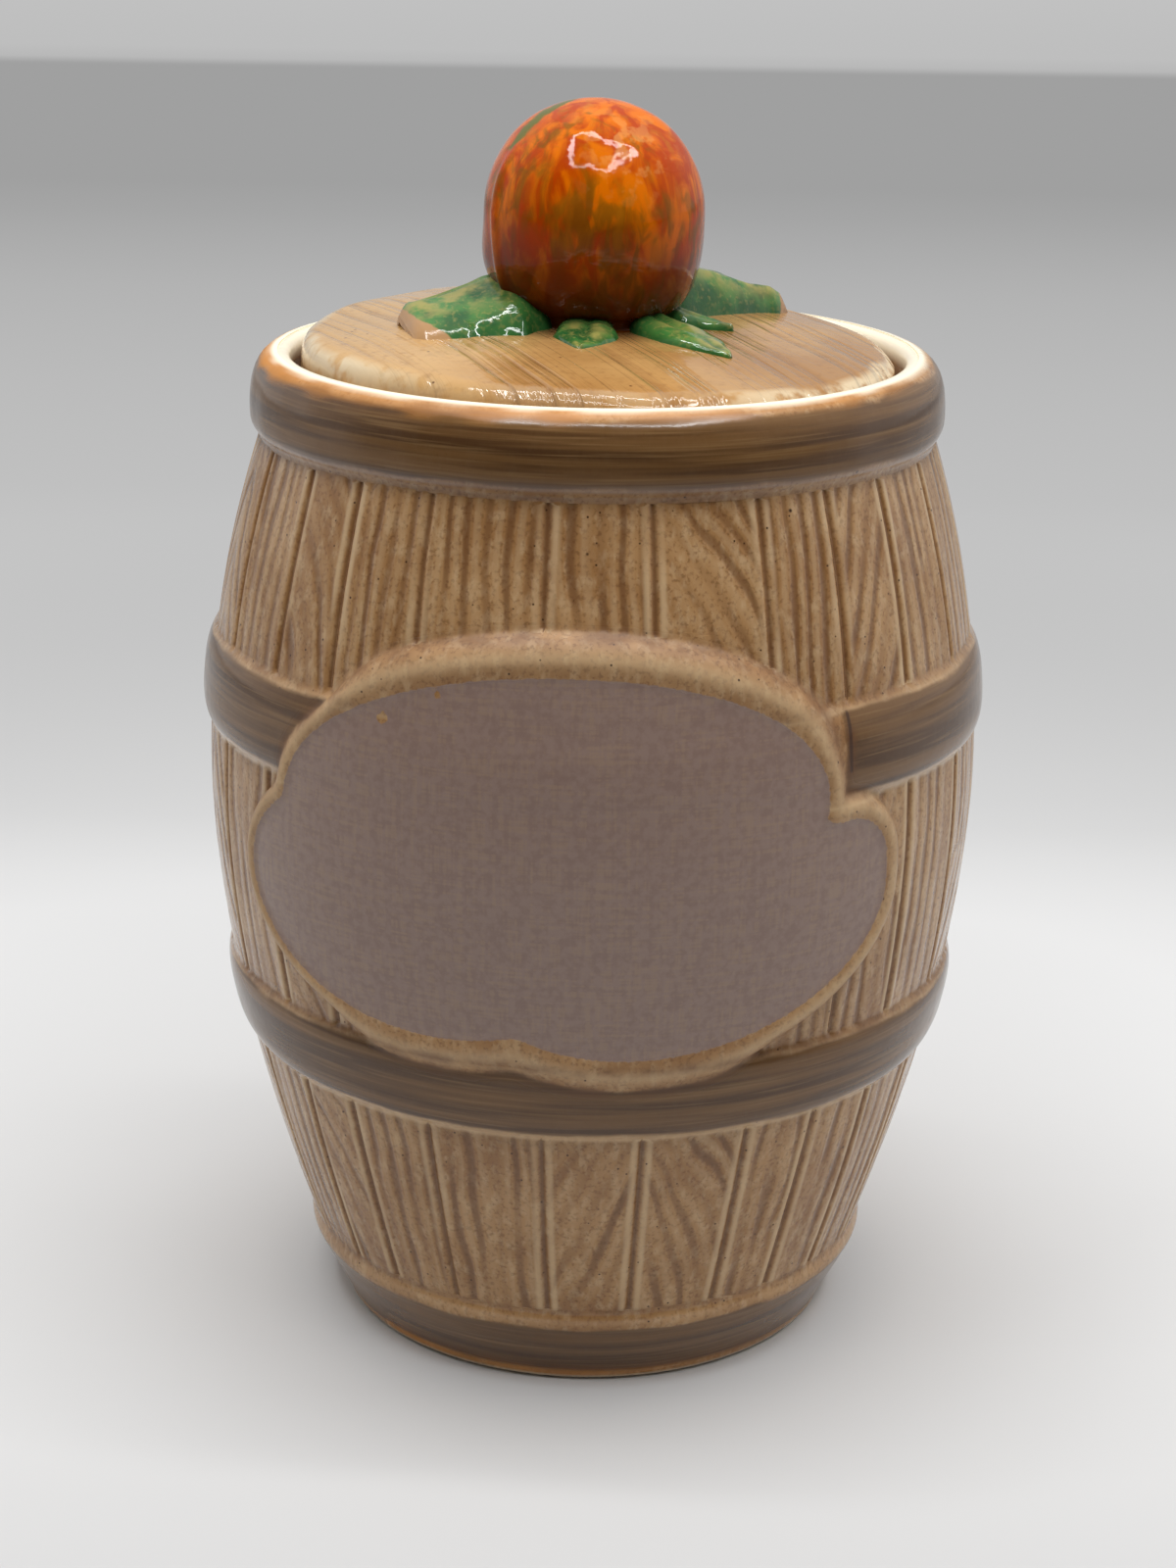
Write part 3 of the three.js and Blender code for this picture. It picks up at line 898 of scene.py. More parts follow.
@dataclass(frozen=True)
class JarGlaze:
    """The jar's glaze: tan over pressed wood, with brown painted hoops and a lavender print."""

    name: str
    tan: Colour = tone(176, 135, 90)
    tan_deep: Colour = tone(156, 114, 71)
    pale: Colour = tone(206, 176, 136)
    brown: Colour = tone(104, 66, 38)
    speck: Colour = tone(66, 42, 28)
    paint: Colour = tone(112, 80, 46)
    paint_deep: Colour = tone(76, 50, 27)
    paint_thin: Colour = tone(140, 108, 70)
    # Lilac-grey of the rim hoop's lower lip, lightened as a painted reflection of the bright room.
    lilac_lip_reflection: Colour = tone(150, 132, 124)
    print_grey: Colour = tone(150, 127, 116)
    print_deep: Colour = tone(141, 117, 107)
    print_tan: Colour = tone(158, 133, 113)
    amber: Colour = tone(204, 132, 46)
    cream: Colour = tone(246, 236, 212)
    haze: Cloud = Cloud(95.0, 0.36, 0.66)
    bloom: Cloud = Cloud((900.0, 900.0, 420.0), 0.46, 0.7, 0.42, 4.0)
    dust: Cloud = Cloud(1900.0, 0.48, 0.72, 0.5, 2.0)
    # Painted highlight: broken pale lines along the raised shoulders beside the grooves.
    shoulder_highlight_patches: Cloud = Cloud((60.0, 60.0, 25.0), 0.34, 0.56, 0.75, 2.0)
    streak: Cloud = Cloud((22.0, 22.0, 620.0), 0.36, 0.62)
    bristle: Cloud = Cloud((60.0, 60.0, 2600.0), 0.5, 0.75, 0.5, 2.0)
    paint_fray: Fray = Fray((90.0, 90.0, 400.0), 3.0, 1.6, -0.25, 0.45, 0.96)
    print_haze: Cloud = Cloud(900.0, 0.36, 0.66, 1.0, 4.0)
    warp_scale: tuple[float, float, float] = (1700.0, 1700.0, 90.0)
    weft_scale: tuple[float, float, float] = (120.0, 120.0, 2100.0)
    weave_step: tuple[float, float, float] = (0.22, 0.38, 0.6)
    print_fray: Fray = Fray(1500.0, 2.0, 0.5, -0.06, 0.1)
    pooling: Cloud = Cloud(320.0, 0.2, 0.7)
    dab_step: tuple[float, float, float] = (1.0, 1.25, 0.85)
    amber_haze: Cloud = Cloud((60.0, 60.0, 300.0), 0.25, 0.75, 0.55)
    amber_least: float = 0.45
    specks: tuple[Specks, ...] = (Specks(820.0, 0.16, 0.2), Specks(260.0, 0.085, 0.14))
    line_step: tuple[float, float] = (0.0, 1.0)
    ridge_step: tuple[float, float] = (-0.2, -1.0)
    cut_step: tuple[float, float] = (0.05, 0.55)
    shoulder: float = 1.0
    shoulder_highlight_step: tuple[float, float] = (0.1, 0.65)
    ridge_share: float = 0.3
    line_share: float = 0.9
    depth_share: float = 0.72
    crest_share: float = 0.55
    lip_reflection_share: float = 0.5
    pool_and_shade_share: float = 0.7
    gloss: float = 0.14
    matt: Cloud = Cloud(240.0, 0.4, 0.8, 0.1)
    dull: float = 0.34
    ripple: Ripple = Ripple(700.0, 2.0, 0.1, 0.00025)
    cut_strength: float = 0.35
    cut_depth: float = 0.0002
    specular: float = 0.46

    def wood(self, sketch: NodeSketch) -> tuple[bpy.types.NodeSocket, bpy.types.NodeSocket]:
        """The tan glaze over the staves.

        Args:
            sketch: The tree to draw in.

        Returns:
            Its colour, and the depth of grooves and grain from 0 to 1.
        """
        body = sketch.blend(sketch.cloud(self.haze), self.tan, self.tan_deep)
        body = sketch.blend(sketch.cloud(self.bloom), body, self.pale)
        body = sketch.blend(sketch.cloud(self.dust), body, self.brown)
        waves = sketch.math("COSINE", sketch.times(sketch.channel(Channel.GRAIN), 2 * math.pi))
        strength = sketch.channel(Channel.WOOD)
        lines = sketch.times(sketch.ramp(waves, *self.line_step), strength)
        ridges = sketch.times(sketch.ramp(waves, *self.ridge_step), strength)
        groove = sketch.channel(Channel.GROOVE)
        cut = sketch.rest(sketch.ramp(groove, *self.cut_step))
        past = sketch.math("ABSOLUTE", sketch.math("SUBTRACT", groove, self.shoulder))
        edge = sketch.rest(sketch.ramp(past, *self.shoulder_highlight_step))
        body = sketch.blend(sketch.times(ridges, self.ridge_share), body, self.pale)
        # Painted highlight along the groove shoulders, broken by noise.
        body = sketch.blend(sketch.times(edge, sketch.cloud(self.shoulder_highlight_patches)), body, self.pale)
        depth = sketch.math("MAXIMUM", sketch.times(lines, self.line_share), cut)
        body = sketch.blend(sketch.times(depth, self.depth_share), body, self.brown)
        return body, depth

    def painted(self, sketch: NodeSketch) -> tuple[bpy.types.NodeSocket, bpy.types.NodeSocket]:
        """The brown brush paint of the hoops.

        Args:
            sketch: The tree to draw in.

        Returns:
            Its colour, and where it covers the tan.
        """
        colour = sketch.blend(sketch.cloud(self.streak), self.paint_deep, self.paint)
        colour = sketch.blend(sketch.cloud(self.bristle), colour, self.paint_thin)
        return colour, sketch.frayed(Channel.PAINT, self.paint_fray)

    def printed(self, sketch: NodeSketch) -> tuple[bpy.types.NodeSocket, bpy.types.NodeSocket]:
        """The lavender-grey label ground with its faint weave.

        Args:
            sketch: The tree to draw in.

        Returns:
            Its colour, and where it covers the tan.
        """
        colour = sketch.blend(sketch.cloud(self.print_haze), self.print_grey, self.print_deep)
        weave = sketch.times(sketch.noise(self.warp_scale), sketch.noise(self.weft_scale))
        colour = sketch.blend(sketch.ramp(weave, *self.weave_step), colour, self.print_tan)
        return colour, sketch.frayed(Channel.PRINT, self.print_fray)

    def build(self) -> bpy.types.Material:
        """Draws the glaze's nodes and returns the material."""
        sketch = NodeSketch(self.name)
        body, depth = self.wood(sketch)
        # Pale where the glaze runs thin, and a painted highlight along the hoops' lower edges.
        body = sketch.blend(sketch.times(sketch.channel(Channel.CREST), self.crest_share), body, self.pale)
        for form in self.specks:
            body = sketch.blend(sketch.specks(form), body, self.speck)
        colour, cover = self.painted(sketch)
        body = sketch.blend(cover, body, colour)
        # Lilac-grey glaze with a painted reflection on the rim hoop's lower lip.
        body = sketch.blend(sketch.times(sketch.channel(Channel.LIP), self.lip_reflection_share), body, self.lilac_lip_reflection)
        # Pooled glaze, with painted shade on the ledge in the gap round the lid.
        pool = sketch.times(sketch.channel(Channel.POOL_AND_SHADE), sketch.cloud(self.pooling))
        body = sketch.blend(sketch.times(pool, self.pool_and_shade_share), body, self.brown)
        body = sketch.blend(sketch.ramp(sketch.channel(Channel.POOL_AND_SHADE), *self.dab_step), body, self.speck)
        colour, cover = self.printed(sketch)
        body = sketch.blend(cover, body, colour)
        uneven = sketch.math("ADD", self.amber_least, sketch.cloud(self.amber_haze))
        body = sketch.blend(sketch.times(sketch.channel(Channel.AMBER), uneven), body, self.amber)
        body = sketch.blend(sketch.channel(Channel.CREAM), body, self.cream)
        gloss = sketch.math("ADD", self.gloss, sketch.cloud(self.matt))
        dull = sketch.math("MAXIMUM", sketch.channel(Channel.DULL), sketch.channel(Channel.AMBER))
        gloss = sketch.math("ADD", gloss, sketch.times(dull, self.dull))
        normal = sketch.ripple(self.ripple)
        normal = sketch.bump(sketch.rest(depth), self.cut_strength, self.cut_depth, normal)
        sketch.surface(Base_Color=body, Roughness=gloss, Normal=normal, Specular_IOR_Level=self.specular)
        return sketch.material


@dataclass(frozen=True)
class LidGlaze:
    """The lid's honey glaze over straight brown grain, thin and pale on the rounded edge, paler on the left
    partly as painted light, and darker round the orange partly as painted shade.
    """

    name: str = "lid honey glaze"
    honey: Colour = tone(184, 141, 86)
    deep: Colour = tone(163, 118, 66)
    grain: Colour = tone(128, 86, 48)
    pale: Colour = tone(204, 164, 108)
    edge: Colour = tone(214, 194, 160)
    speck: Colour = tone(92, 60, 38)
    pool: Colour = tone(96, 66, 38)
    turn: float = 31.0
    bend: float = 0.15
    haze: Cloud = Cloud(45.0, 0.36, 0.62)
    dust: Cloud = Cloud(900.0, 0.5, 0.75, 0.3)
    fine_scale: tuple[float, float, float] = (760.0, 11.0, 11.0)
    broad_scale: tuple[float, float, float] = (300.0, 10.0, 10.0)
    fine_step: tuple[float, float] = (0.4, 0.7)
    broad_step: tuple[float, float] = (0.4, 0.62)
    faint_step: tuple[float, float, float] = (0.44, 0.74, 0.55)
    worn: Cloud = Cloud(110.0, 0.3, 0.6, 0.45)
    worn_least: float = 0.2
    mottle: Cloud = Cloud(380.0, 0.3, 0.55)
    underside: Cloud = Cloud(120.0, 0.4, 0.7, 0.35)
    specks: Specks = Specks(420.0, 0.12, 0.16)
    # Share of the paler left side, partly paler glaze and partly painted light.
    pale_and_lit_share: float = 0.8
    pool_and_shade_share: float = 0.75
    gloss: float = 0.07
    matt: Cloud = Cloud(160.0, 0.4, 0.8, 0.08)
    ripple: Ripple = Ripple(420.0, 3.0, 0.16, 0.0005)
    line_strength: float = 0.6
    line_depth: float = 0.0004
    specular: float = 0.42

    def lines(self, sketch: NodeSketch) -> bpy.types.NodeSocket:
        """The pressed grain lines across the lid.

        Args:
            sketch: The tree to draw in.

        Returns:
            A number that is 1 in the deepest lines.
        """
        fine = sketch.noise(self.fine_scale, 3.0, self.turn, self.bend)
        broad = sketch.noise(self.broad_scale, 2.0, self.turn, self.bend)
        strong = sketch.times(sketch.ramp(fine, *self.fine_step), sketch.ramp(broad, *self.broad_step))
        return sketch.math("MAXIMUM", strong, sketch.ramp(fine, *self.faint_step))

    def build(self) -> bpy.types.Material:
        """Draws the glaze's nodes and returns the material."""
        sketch = NodeSketch(self.name)
        body = sketch.blend(sketch.cloud(self.haze), self.honey, self.deep)
        # Paler left side: paler glaze together with painted light.
        body = sketch.blend(sketch.times(sketch.channel(Channel.CREAM), self.pale_and_lit_share), body, self.pale)
        body = sketch.blend(sketch.cloud(self.dust), body, self.grain)
        lines = self.lines(sketch)
        worn = sketch.math("ADD", self.worn_least, sketch.cloud(self.worn))
        body = sketch.blend(sketch.times(lines, worn), body, self.grain)
        mottle = sketch.cloud(self.mottle)
        body = sketch.blend(sketch.times(sketch.channel(Channel.CREST), mottle), body, self.edge)
        # Pooled glaze and painted shade round the orange's base.
        body = sketch.blend(sketch.times(sketch.channel(Channel.POOL_AND_SHADE), self.pool_and_shade_share), body, self.pool)
        under = sketch.blend(sketch.cloud(self.underside), self.edge, self.honey)
        body = sketch.blend(sketch.channel(Channel.LIP), body, under)
        body = sketch.blend(sketch.specks(self.specks), body, self.speck)
        gloss = sketch.math("ADD", self.gloss, sketch.cloud(self.matt))
        normal = sketch.ripple(self.ripple)
        normal = sketch.bump(sketch.rest(lines), self.line_strength, self.line_depth, normal)
        sketch.surface(Base_Color=body, Roughness=gloss, Normal=normal, Specular_IOR_Level=self.specular)
        return sketch.material


@dataclass(frozen=True)
class OrangeGlaze:
    """The orange's brushed glaze, olive where the brush ran dry and brown below, darkened towards its base
    with painted shade.
    """

    name: str = "orange brushed glaze"
    orange: Colour = tone(216, 108, 0)
    red: Colour = tone(176, 62, 0)
    gold: Colour = tone(180, 108, 12)
    olive: Colour = tone(118, 80, 10)
    foot: Colour = tone(64, 28, 2)
    pale: Colour = tone(230, 170, 96)
    green: Colour = tone(78, 96, 30)
    brush: Cloud = Cloud((260.0, 260.0, 110.0), 0.4, 0.62, 1.0, 4.0, 0.0, 1.2)
    dry_scale: tuple[float, float, float] = (620.0, 620.0, 220.0)
    dry_warp: float = 0.8
    dry_patch: float = 85.0
    dry_share: float = 0.13
    dry_step: tuple[float, float, float] = (0.26, 0.42, 0.75)
    thin: Cloud = Cloud((420.0, 420.0, 120.0), 0.54, 0.72, 0.45, 4.0, 40.0)
    flakes: Cloud = Cloud(420.0, 0.52, 0.62)
    stroke: Fray = Fray(600.0, 3.0, 1.4, -0.2, 0.5, 0.9)
    # Share of the brown foot, which is also painted shade under the orange.
    foot_and_shade_share: float = 0.85
    flake_share: float = 0.4
    gloss: float = 0.04
    matt: Cloud = Cloud(300.0, 0.4, 0.8, 0.06)
    ripple: Ripple = Ripple(260.0, 3.0, 0.22, 0.0005)
    peel_scale: float = 700.0
    peel_strength: float = 0.08
    peel_depth: float = 0.0002
    specular: float = 0.18

    def build(self) -> bpy.types.Material:
        """Draws the glaze's nodes and returns the material."""
        sketch = NodeSketch(self.name)
        body = sketch.blend(sketch.cloud(self.brush), self.red, self.orange)
        dry = sketch.noise(self.dry_scale, 4.0, 0.0, self.dry_warp)
        dry = sketch.times(dry, sketch.noise(self.dry_patch))
        dry = sketch.math("ADD", dry, sketch.times(sketch.channel(Channel.GRAIN), self.dry_share))
        body = sketch.blend(sketch.ramp(dry, *self.dry_step), body, self.olive)
        body = sketch.blend(sketch.cloud(self.thin), body, self.gold)
        # Brown towards the base, darkened further as painted shade under the bulge.
        body = sketch.blend(sketch.times(sketch.channel(Channel.POOL_AND_SHADE), self.foot_and_shade_share), body, self.foot)
        flakes = sketch.times(sketch.channel(Channel.CREST), sketch.cloud(self.flakes))
        body = sketch.blend(sketch.times(flakes, self.flake_share), body, self.pale)
        body = sketch.blend(sketch.frayed(Channel.PAINT, self.stroke), body, self.green)
        cells = {"Vector": sketch.place, "Scale": self.peel_scale}
        peel = sketch.node("ShaderNodeTexVoronoi", cells).outputs["Distance"]
        normal = sketch.ripple(self.ripple)
        normal = sketch.bump(peel, self.peel_strength, self.peel_depth, normal)
        gloss = sketch.math("ADD", self.gloss, sketch.cloud(self.matt))
        sketch.surface(Base_Color=body, Roughness=gloss, Normal=normal, Specular_IOR_Level=self.specular)
        return sketch.material


@dataclass(frozen=True)
class LeafGlaze:
    """The leaves' green glaze, olive-yellow on the raised middles and bare tan at the tips."""

    name: str = "leaf green glaze"
    green: Colour = tone(70, 124, 58)
    deep: Colour = tone(38, 86, 42)
    olive: Colour = tone(160, 148, 80)
    bare: Colour = tone(172, 132, 88)
    haze: Cloud = Cloud(230.0, 0.36, 0.62, 1.0, 4.0)
    worn: Cloud = Cloud(330.0, 0.36, 0.62, 1.0, 4.0)
    dust: Cloud = Cloud(1500.0, 0.5, 0.72, 0.4, 2.0)
    tip: Fray = Fray(500.0, 3.0, 1.6, -0.2, 0.3)
    worn_share: float = 0.85
    pool_and_shade_share: float = 0.8
    gloss: float = 0.06
    matt: Cloud = Cloud(200.0, 0.4, 0.8, 0.12)
    ripple: Ripple = Ripple(330.0, 3.0, 0.35, 0.0005)
    specular: float = 0.42

    def build(self) -> bpy.types.Material:
        """Draws the glaze's nodes and returns the material."""
        sketch = NodeSketch(self.name)
        body = sketch.blend(sketch.cloud(self.haze), self.deep, self.green)
        worn = sketch.times(sketch.channel(Channel.CREST), sketch.cloud(self.worn))
        body = sketch.blend(sketch.times(worn, self.worn_share), body, self.olive)
        body = sketch.blend(sketch.cloud(self.dust), body, self.olive)
        # Deep green at the roots and edges: pooled glaze with painted shade by the orange and where the leaf
        # meets the lid.
        body = sketch.blend(sketch.times(sketch.channel(Channel.POOL_AND_SHADE), self.pool_and_shade_share), body, self.deep)
        body = sketch.blend(sketch.frayed(Channel.PAINT, self.tip), self.bare, body)
        gloss = sketch.math("ADD", self.gloss, sketch.cloud(self.matt))
        normal = sketch.ripple(self.ripple)
        sketch.surface(Base_Color=body, Roughness=gloss, Normal=normal, Specular_IOR_Level=self.specular)
        return sketch.material


@dataclass(frozen=True)
class Turn:
    """How a profile is turned: columns in a full turn, columns in a sector, and the number of sectors."""

    columns: int
    sector: int
    sectors: int
    start: float = 0.0

    @classmethod
    def full(cls, columns: int, sectors: int, start: float = 0.0) -> "Turn":
        """A full turn, split into equal sectors."""
        return cls(columns, columns // sectors, sectors, start)


class ClayMesh:
    """A mesh on its way from bmesh operators to a glazed piece."""

    ROW = "row"
    DOUBLES = 1e-7

    def __init__(self, bm: bmesh.types.BMesh, name: str) -> None:
        """Takes over a bmesh, closes its doubles and turns its faces outwards."""
        bmesh.ops.remove_doubles(bm, verts=bm.verts[:], dist=self.DOUBLES)
        bmesh.ops.recalc_face_normals(bm, faces=bm.faces[:])
        for face in bm.faces:
            face.smooth = True
        self.name = name
        self.mesh = bpy.data.meshes.new(name)
        bm.to_mesh(self.mesh)
        bm.free()

    @classmethod
    def turned(cls, name: str, profile: Profile, turn: Turn, closed: bool = False) -> "ClayMesh":
        """Turns a profile about the jar's axis, one sector first and then the sectors round.

        Args:
            name: The mesh's name.
            profile: Radii and heights in millimetres, with the axis at radius 0.
            turn: The columns that the turn makes.
            closed: Whether the profile's last point joins its first.

        Returns:
            The turned mesh, whose vertices know their place in the profile.
        """
        bm = bmesh.new()
        row = bm.verts.layers.int.new(cls.ROW)
        across, ahead = math.sin(turn.start) * MM, -math.cos(turn.start) * MM
        verts = []
        for number, (radius, height) in enumerate(profile):
            vert = bm.verts.new((radius * across, radius * ahead, height * MM))
            vert[row] = number
            verts.append(vert)
        pairs = list(zip(verts, verts[1:])) + ([(verts[-1], verts[0])] if closed else [])
        edges = [bm.edges.new(pair) for pair in pairs]
        about = {"cent": (0, 0, 0), "axis": (0, 0, 1), "dvec": (0, 0, 0)}
        step = 2 * math.pi / turn.columns
        bmesh.ops.spin(bm, geom=verts + edges, angle=step * turn.sector, steps=turn.sector, **about)
        copies = turn.sectors - 1
        geom = bm.verts[:] + bm.edges[:] + bm.faces[:]
        angle = step * turn.sector * copies
        bmesh.ops.spin(bm, geom=geom, angle=angle, steps=copies, use_duplicate=True, **about)
        return cls(bm, name)

    @property
    def points(self) -> Array:
        """The vertices in millimetres."""
        flat = np.zeros(len(self.mesh.vertices) * 3)
        self.mesh.vertices.foreach_get("co", flat)
        return flat.reshape(-1, 3) / MM

    @points.setter
    def points(self, values: Array) -> None:
        """Moves the vertices, in millimetres."""
        self.mesh.vertices.foreach_set("co", (values * MM).ravel())
        self.mesh.update()

    @property
    def rows(self) -> Array:
        """The place of each vertex in its profile."""
        rows = np.zeros(len(self.mesh.vertices), dtype=np.int32)
        self.mesh.attributes[self.ROW].data.foreach_get("value", rows)
        return rows

    @property
    def radii(self) -> Array:
        """The distance of each vertex from the jar's axis, in millimetres."""
        points = self.points
        return np.hypot(points[:, 0], points[:, 1])

    @property
    def azimuths(self) -> Array:
        """The azimuth of each vertex from the front, in radians."""
        points = self.points
        return np.arctan2(points[:, 0], -points[:, 1])

    def columns(self, count: int, start: float) -> Array:
        """The column of each vertex, counted from a start azimuth."""
        turn = self.azimuths - start
        return np.round(turn / (2 * np.pi) * count).astype(int) % count

    def set_polar(self, radius: Array, azimuth: Array, height: Array) -> None:
        """Places the vertices by radius, azimuth from the front and height."""
        self.points = np.stack([radius * np.sin(azimuth), -radius * np.cos(azimuth), height], axis=1)

    def write(self, channels: Mapping[Channel, Array]) -> None:
        """Stores the glaze's channels on the vertices, with bare values for those not given."""
        for name, plain in BARE.items():
            values = np.broadcast_to(channels.get(name, plain), len(self.mesh.vertices))
            layer = self.mesh.attributes.new(name.value, "FLOAT", "POINT")
            layer.data.foreach_set("value", np.ascontiguousarray(values, dtype=np.float32))

    def reshape(self, change: Callable[[bmesh.types.BMesh], None]) -> None:
        """Runs bmesh operators over the mesh, keeping its channels."""
        bm = bmesh.new()
        bm.from_mesh(self.mesh)
        bm.verts.ensure_lookup_table()
        change(bm)
        bm.to_mesh(self.mesh)
        bm.free()
        self.mesh.update()

    def close_behind(self, inward: Callable[[Vector], Vector]) -> None:
        """Gives an open sheet a wall along its edge and a back.

        Args:
            inward: Where a point of the edge goes.
        """

        def wall(bm: bmesh.types.BMesh) -> None:
            """Extrudes the open edge inwards and fills the hole that is left."""
            rim = [edge for edge in bm.edges if edge.is_boundary]
            for edge in rim:
                edge.smooth = False
            made = bmesh.ops.extrude_edge_only(bm, edges=rim)["geom"]
            for vert in (item for item in made if isinstance(item, bmesh.types.BMVert)):
                vert.co = inward(vert.co)
            bmesh.ops.holes_fill(bm, edges=[edge for edge in bm.edges if edge.is_boundary], sides=0)
            bmesh.ops.recalc_face_normals(bm, faces=bm.faces[:])

        self.reshape(wall)

    def sharpen(self, angle: float) -> None:
        """Marks edges sharper than an angle in degrees."""

        def mark(bm: bmesh.types.BMesh) -> None:
            """Marks the sharp edges of one bmesh."""
            for edge in bm.edges:
                if len(edge.link_faces) == 2 and edge.calc_face_angle(0.0) > math.radians(angle):
                    edge.smooth = False

        self.reshape(mark)

    def piece(self, node: str, body: Body, slot: Slot, glaze: bpy.types.Material) -> bpy.types.Object:
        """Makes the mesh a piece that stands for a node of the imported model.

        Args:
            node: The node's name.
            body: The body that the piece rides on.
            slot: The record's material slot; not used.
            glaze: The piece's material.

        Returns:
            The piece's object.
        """
        if self.ROW in self.mesh.attributes:
            self.mesh.attributes.remove(self.mesh.attributes[self.ROW])
        self.mesh.materials.append(glaze)
        made = bpy.data.objects.new(f"{node}_glazed", self.mesh)
        bpy.context.scene.collection.objects.link(made)
        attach(made, body.value)
        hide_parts(node)
        LOG.info("%s: %d faces on %s", made.name, len(self.mesh.polygons), body.value)
        return made


@dataclass
class Barrel:
    """The hollow barrel: foot, staves, rim collar, ledge and inside, in millimetres."""

    surface: JarSurface
    wall: float = 4.2
    stave_rows: int = 86
    underside: Profile = (
        (0, 1.6), (14, 1.6), (24, 1.6), (27.6, 1.5), (28.7, 0.9), (29.3, 0.2), (30.2, 0),
        (32.4, 0), (33.2, 0.25), (33.6, 0.9), (34.2, 3), (35.6, 6.5), (37.2, 10), (38.2, 12),
    )
    collar: Profile = (
        (43.4, 124), (42.9, 126.5), (42.5, 129.5), (42.35, 131.6), (42.1, 132.3), (41.7, 132.68),
        (41.2, 132.8), (40.8, 132.74), (40.4, 132.5), (40.1, 132.05), (39.95, 131.4), (39.9, 130.2),
        (39.9, 128.9), (39.8, 128.3), (39.4, 128), (38, 128), (36.4, 128), (35.8, 127.8),
        (35.5, 127.2), (35.5, 124.5), (35.5, 122), (36.6, 119), (39.4, 114.5), (42.8, 110),
    )
    # Painted shade: the ledge in the gap round the lid is coloured as pooled brown, not cream.
    shaded_gap_radius: float = 37.0
    shaded_gap_levels: tuple[float, float] = (127.0, 130.6)
    inside_top: float = 105.0
    inside_bottom: float = 14.0
    inside_rows: int = 12
    floor: Profile = ((33.6, 8.2), (31.6, 6.1), (28.8, 5.1), (24, 5), (12, 5), (0, 5))

    def build(self) -> ClayMesh:
        """Turns the barrel and presses the staves into it."""
        form = self.surface.staves
        heights = np.linspace(form.waist_height, form.neck_height, self.stave_rows)
        staves = outline(form.radius(heights), heights)
        levels = np.linspace(self.inside_top, self.inside_bottom, self.inside_rows)
        cavity = outline(form.radius(levels) - self.wall, levels)
        profile = [*self.underside, *staves, *self.collar, *cavity, *self.floor]
        clay = ClayMesh.turned("barrel_body", profile, form.round)
        rows, radius, height = clay.rows, clay.radii, clay.points[:, 2]
        skin = self.surface.sample(clay.columns(form.turn, form.start), height)
        first, last = len(self.underside), len(self.underside) + len(staves)
        outer = (rows >= first) & (rows < last)
        clay.set_polar(np.where(outer, skin.staves, radius), skin.azimuth, height)
        channels = {name: np.where(outer, values, BARE[name]) for name, values in skin.channels.items()}
        rim = rows >= last
        # Painted shade on the ledge in the gap round the lid.
        low, high = self.shaded_gap_levels
        shaded_gap = rim & (radius > self.shaded_gap_radius) & (height > low) & (height < high)
        channels[Channel.CREAM] = np.where(rim & ~shaded_gap, 1.0, 0.0)
        channels[Channel.POOL_AND_SHADE] = np.where(shaded_gap, 1.0, channels[Channel.POOL_AND_SHADE])
        clay.write(channels)
        return clay

    def dress(self, glaze: bpy.types.Material) -> None:
        """Glazes the barrel and sets it on its body."""
        self.build().piece("barrel_body", Body.JAR, Slot.TAN, glaze)


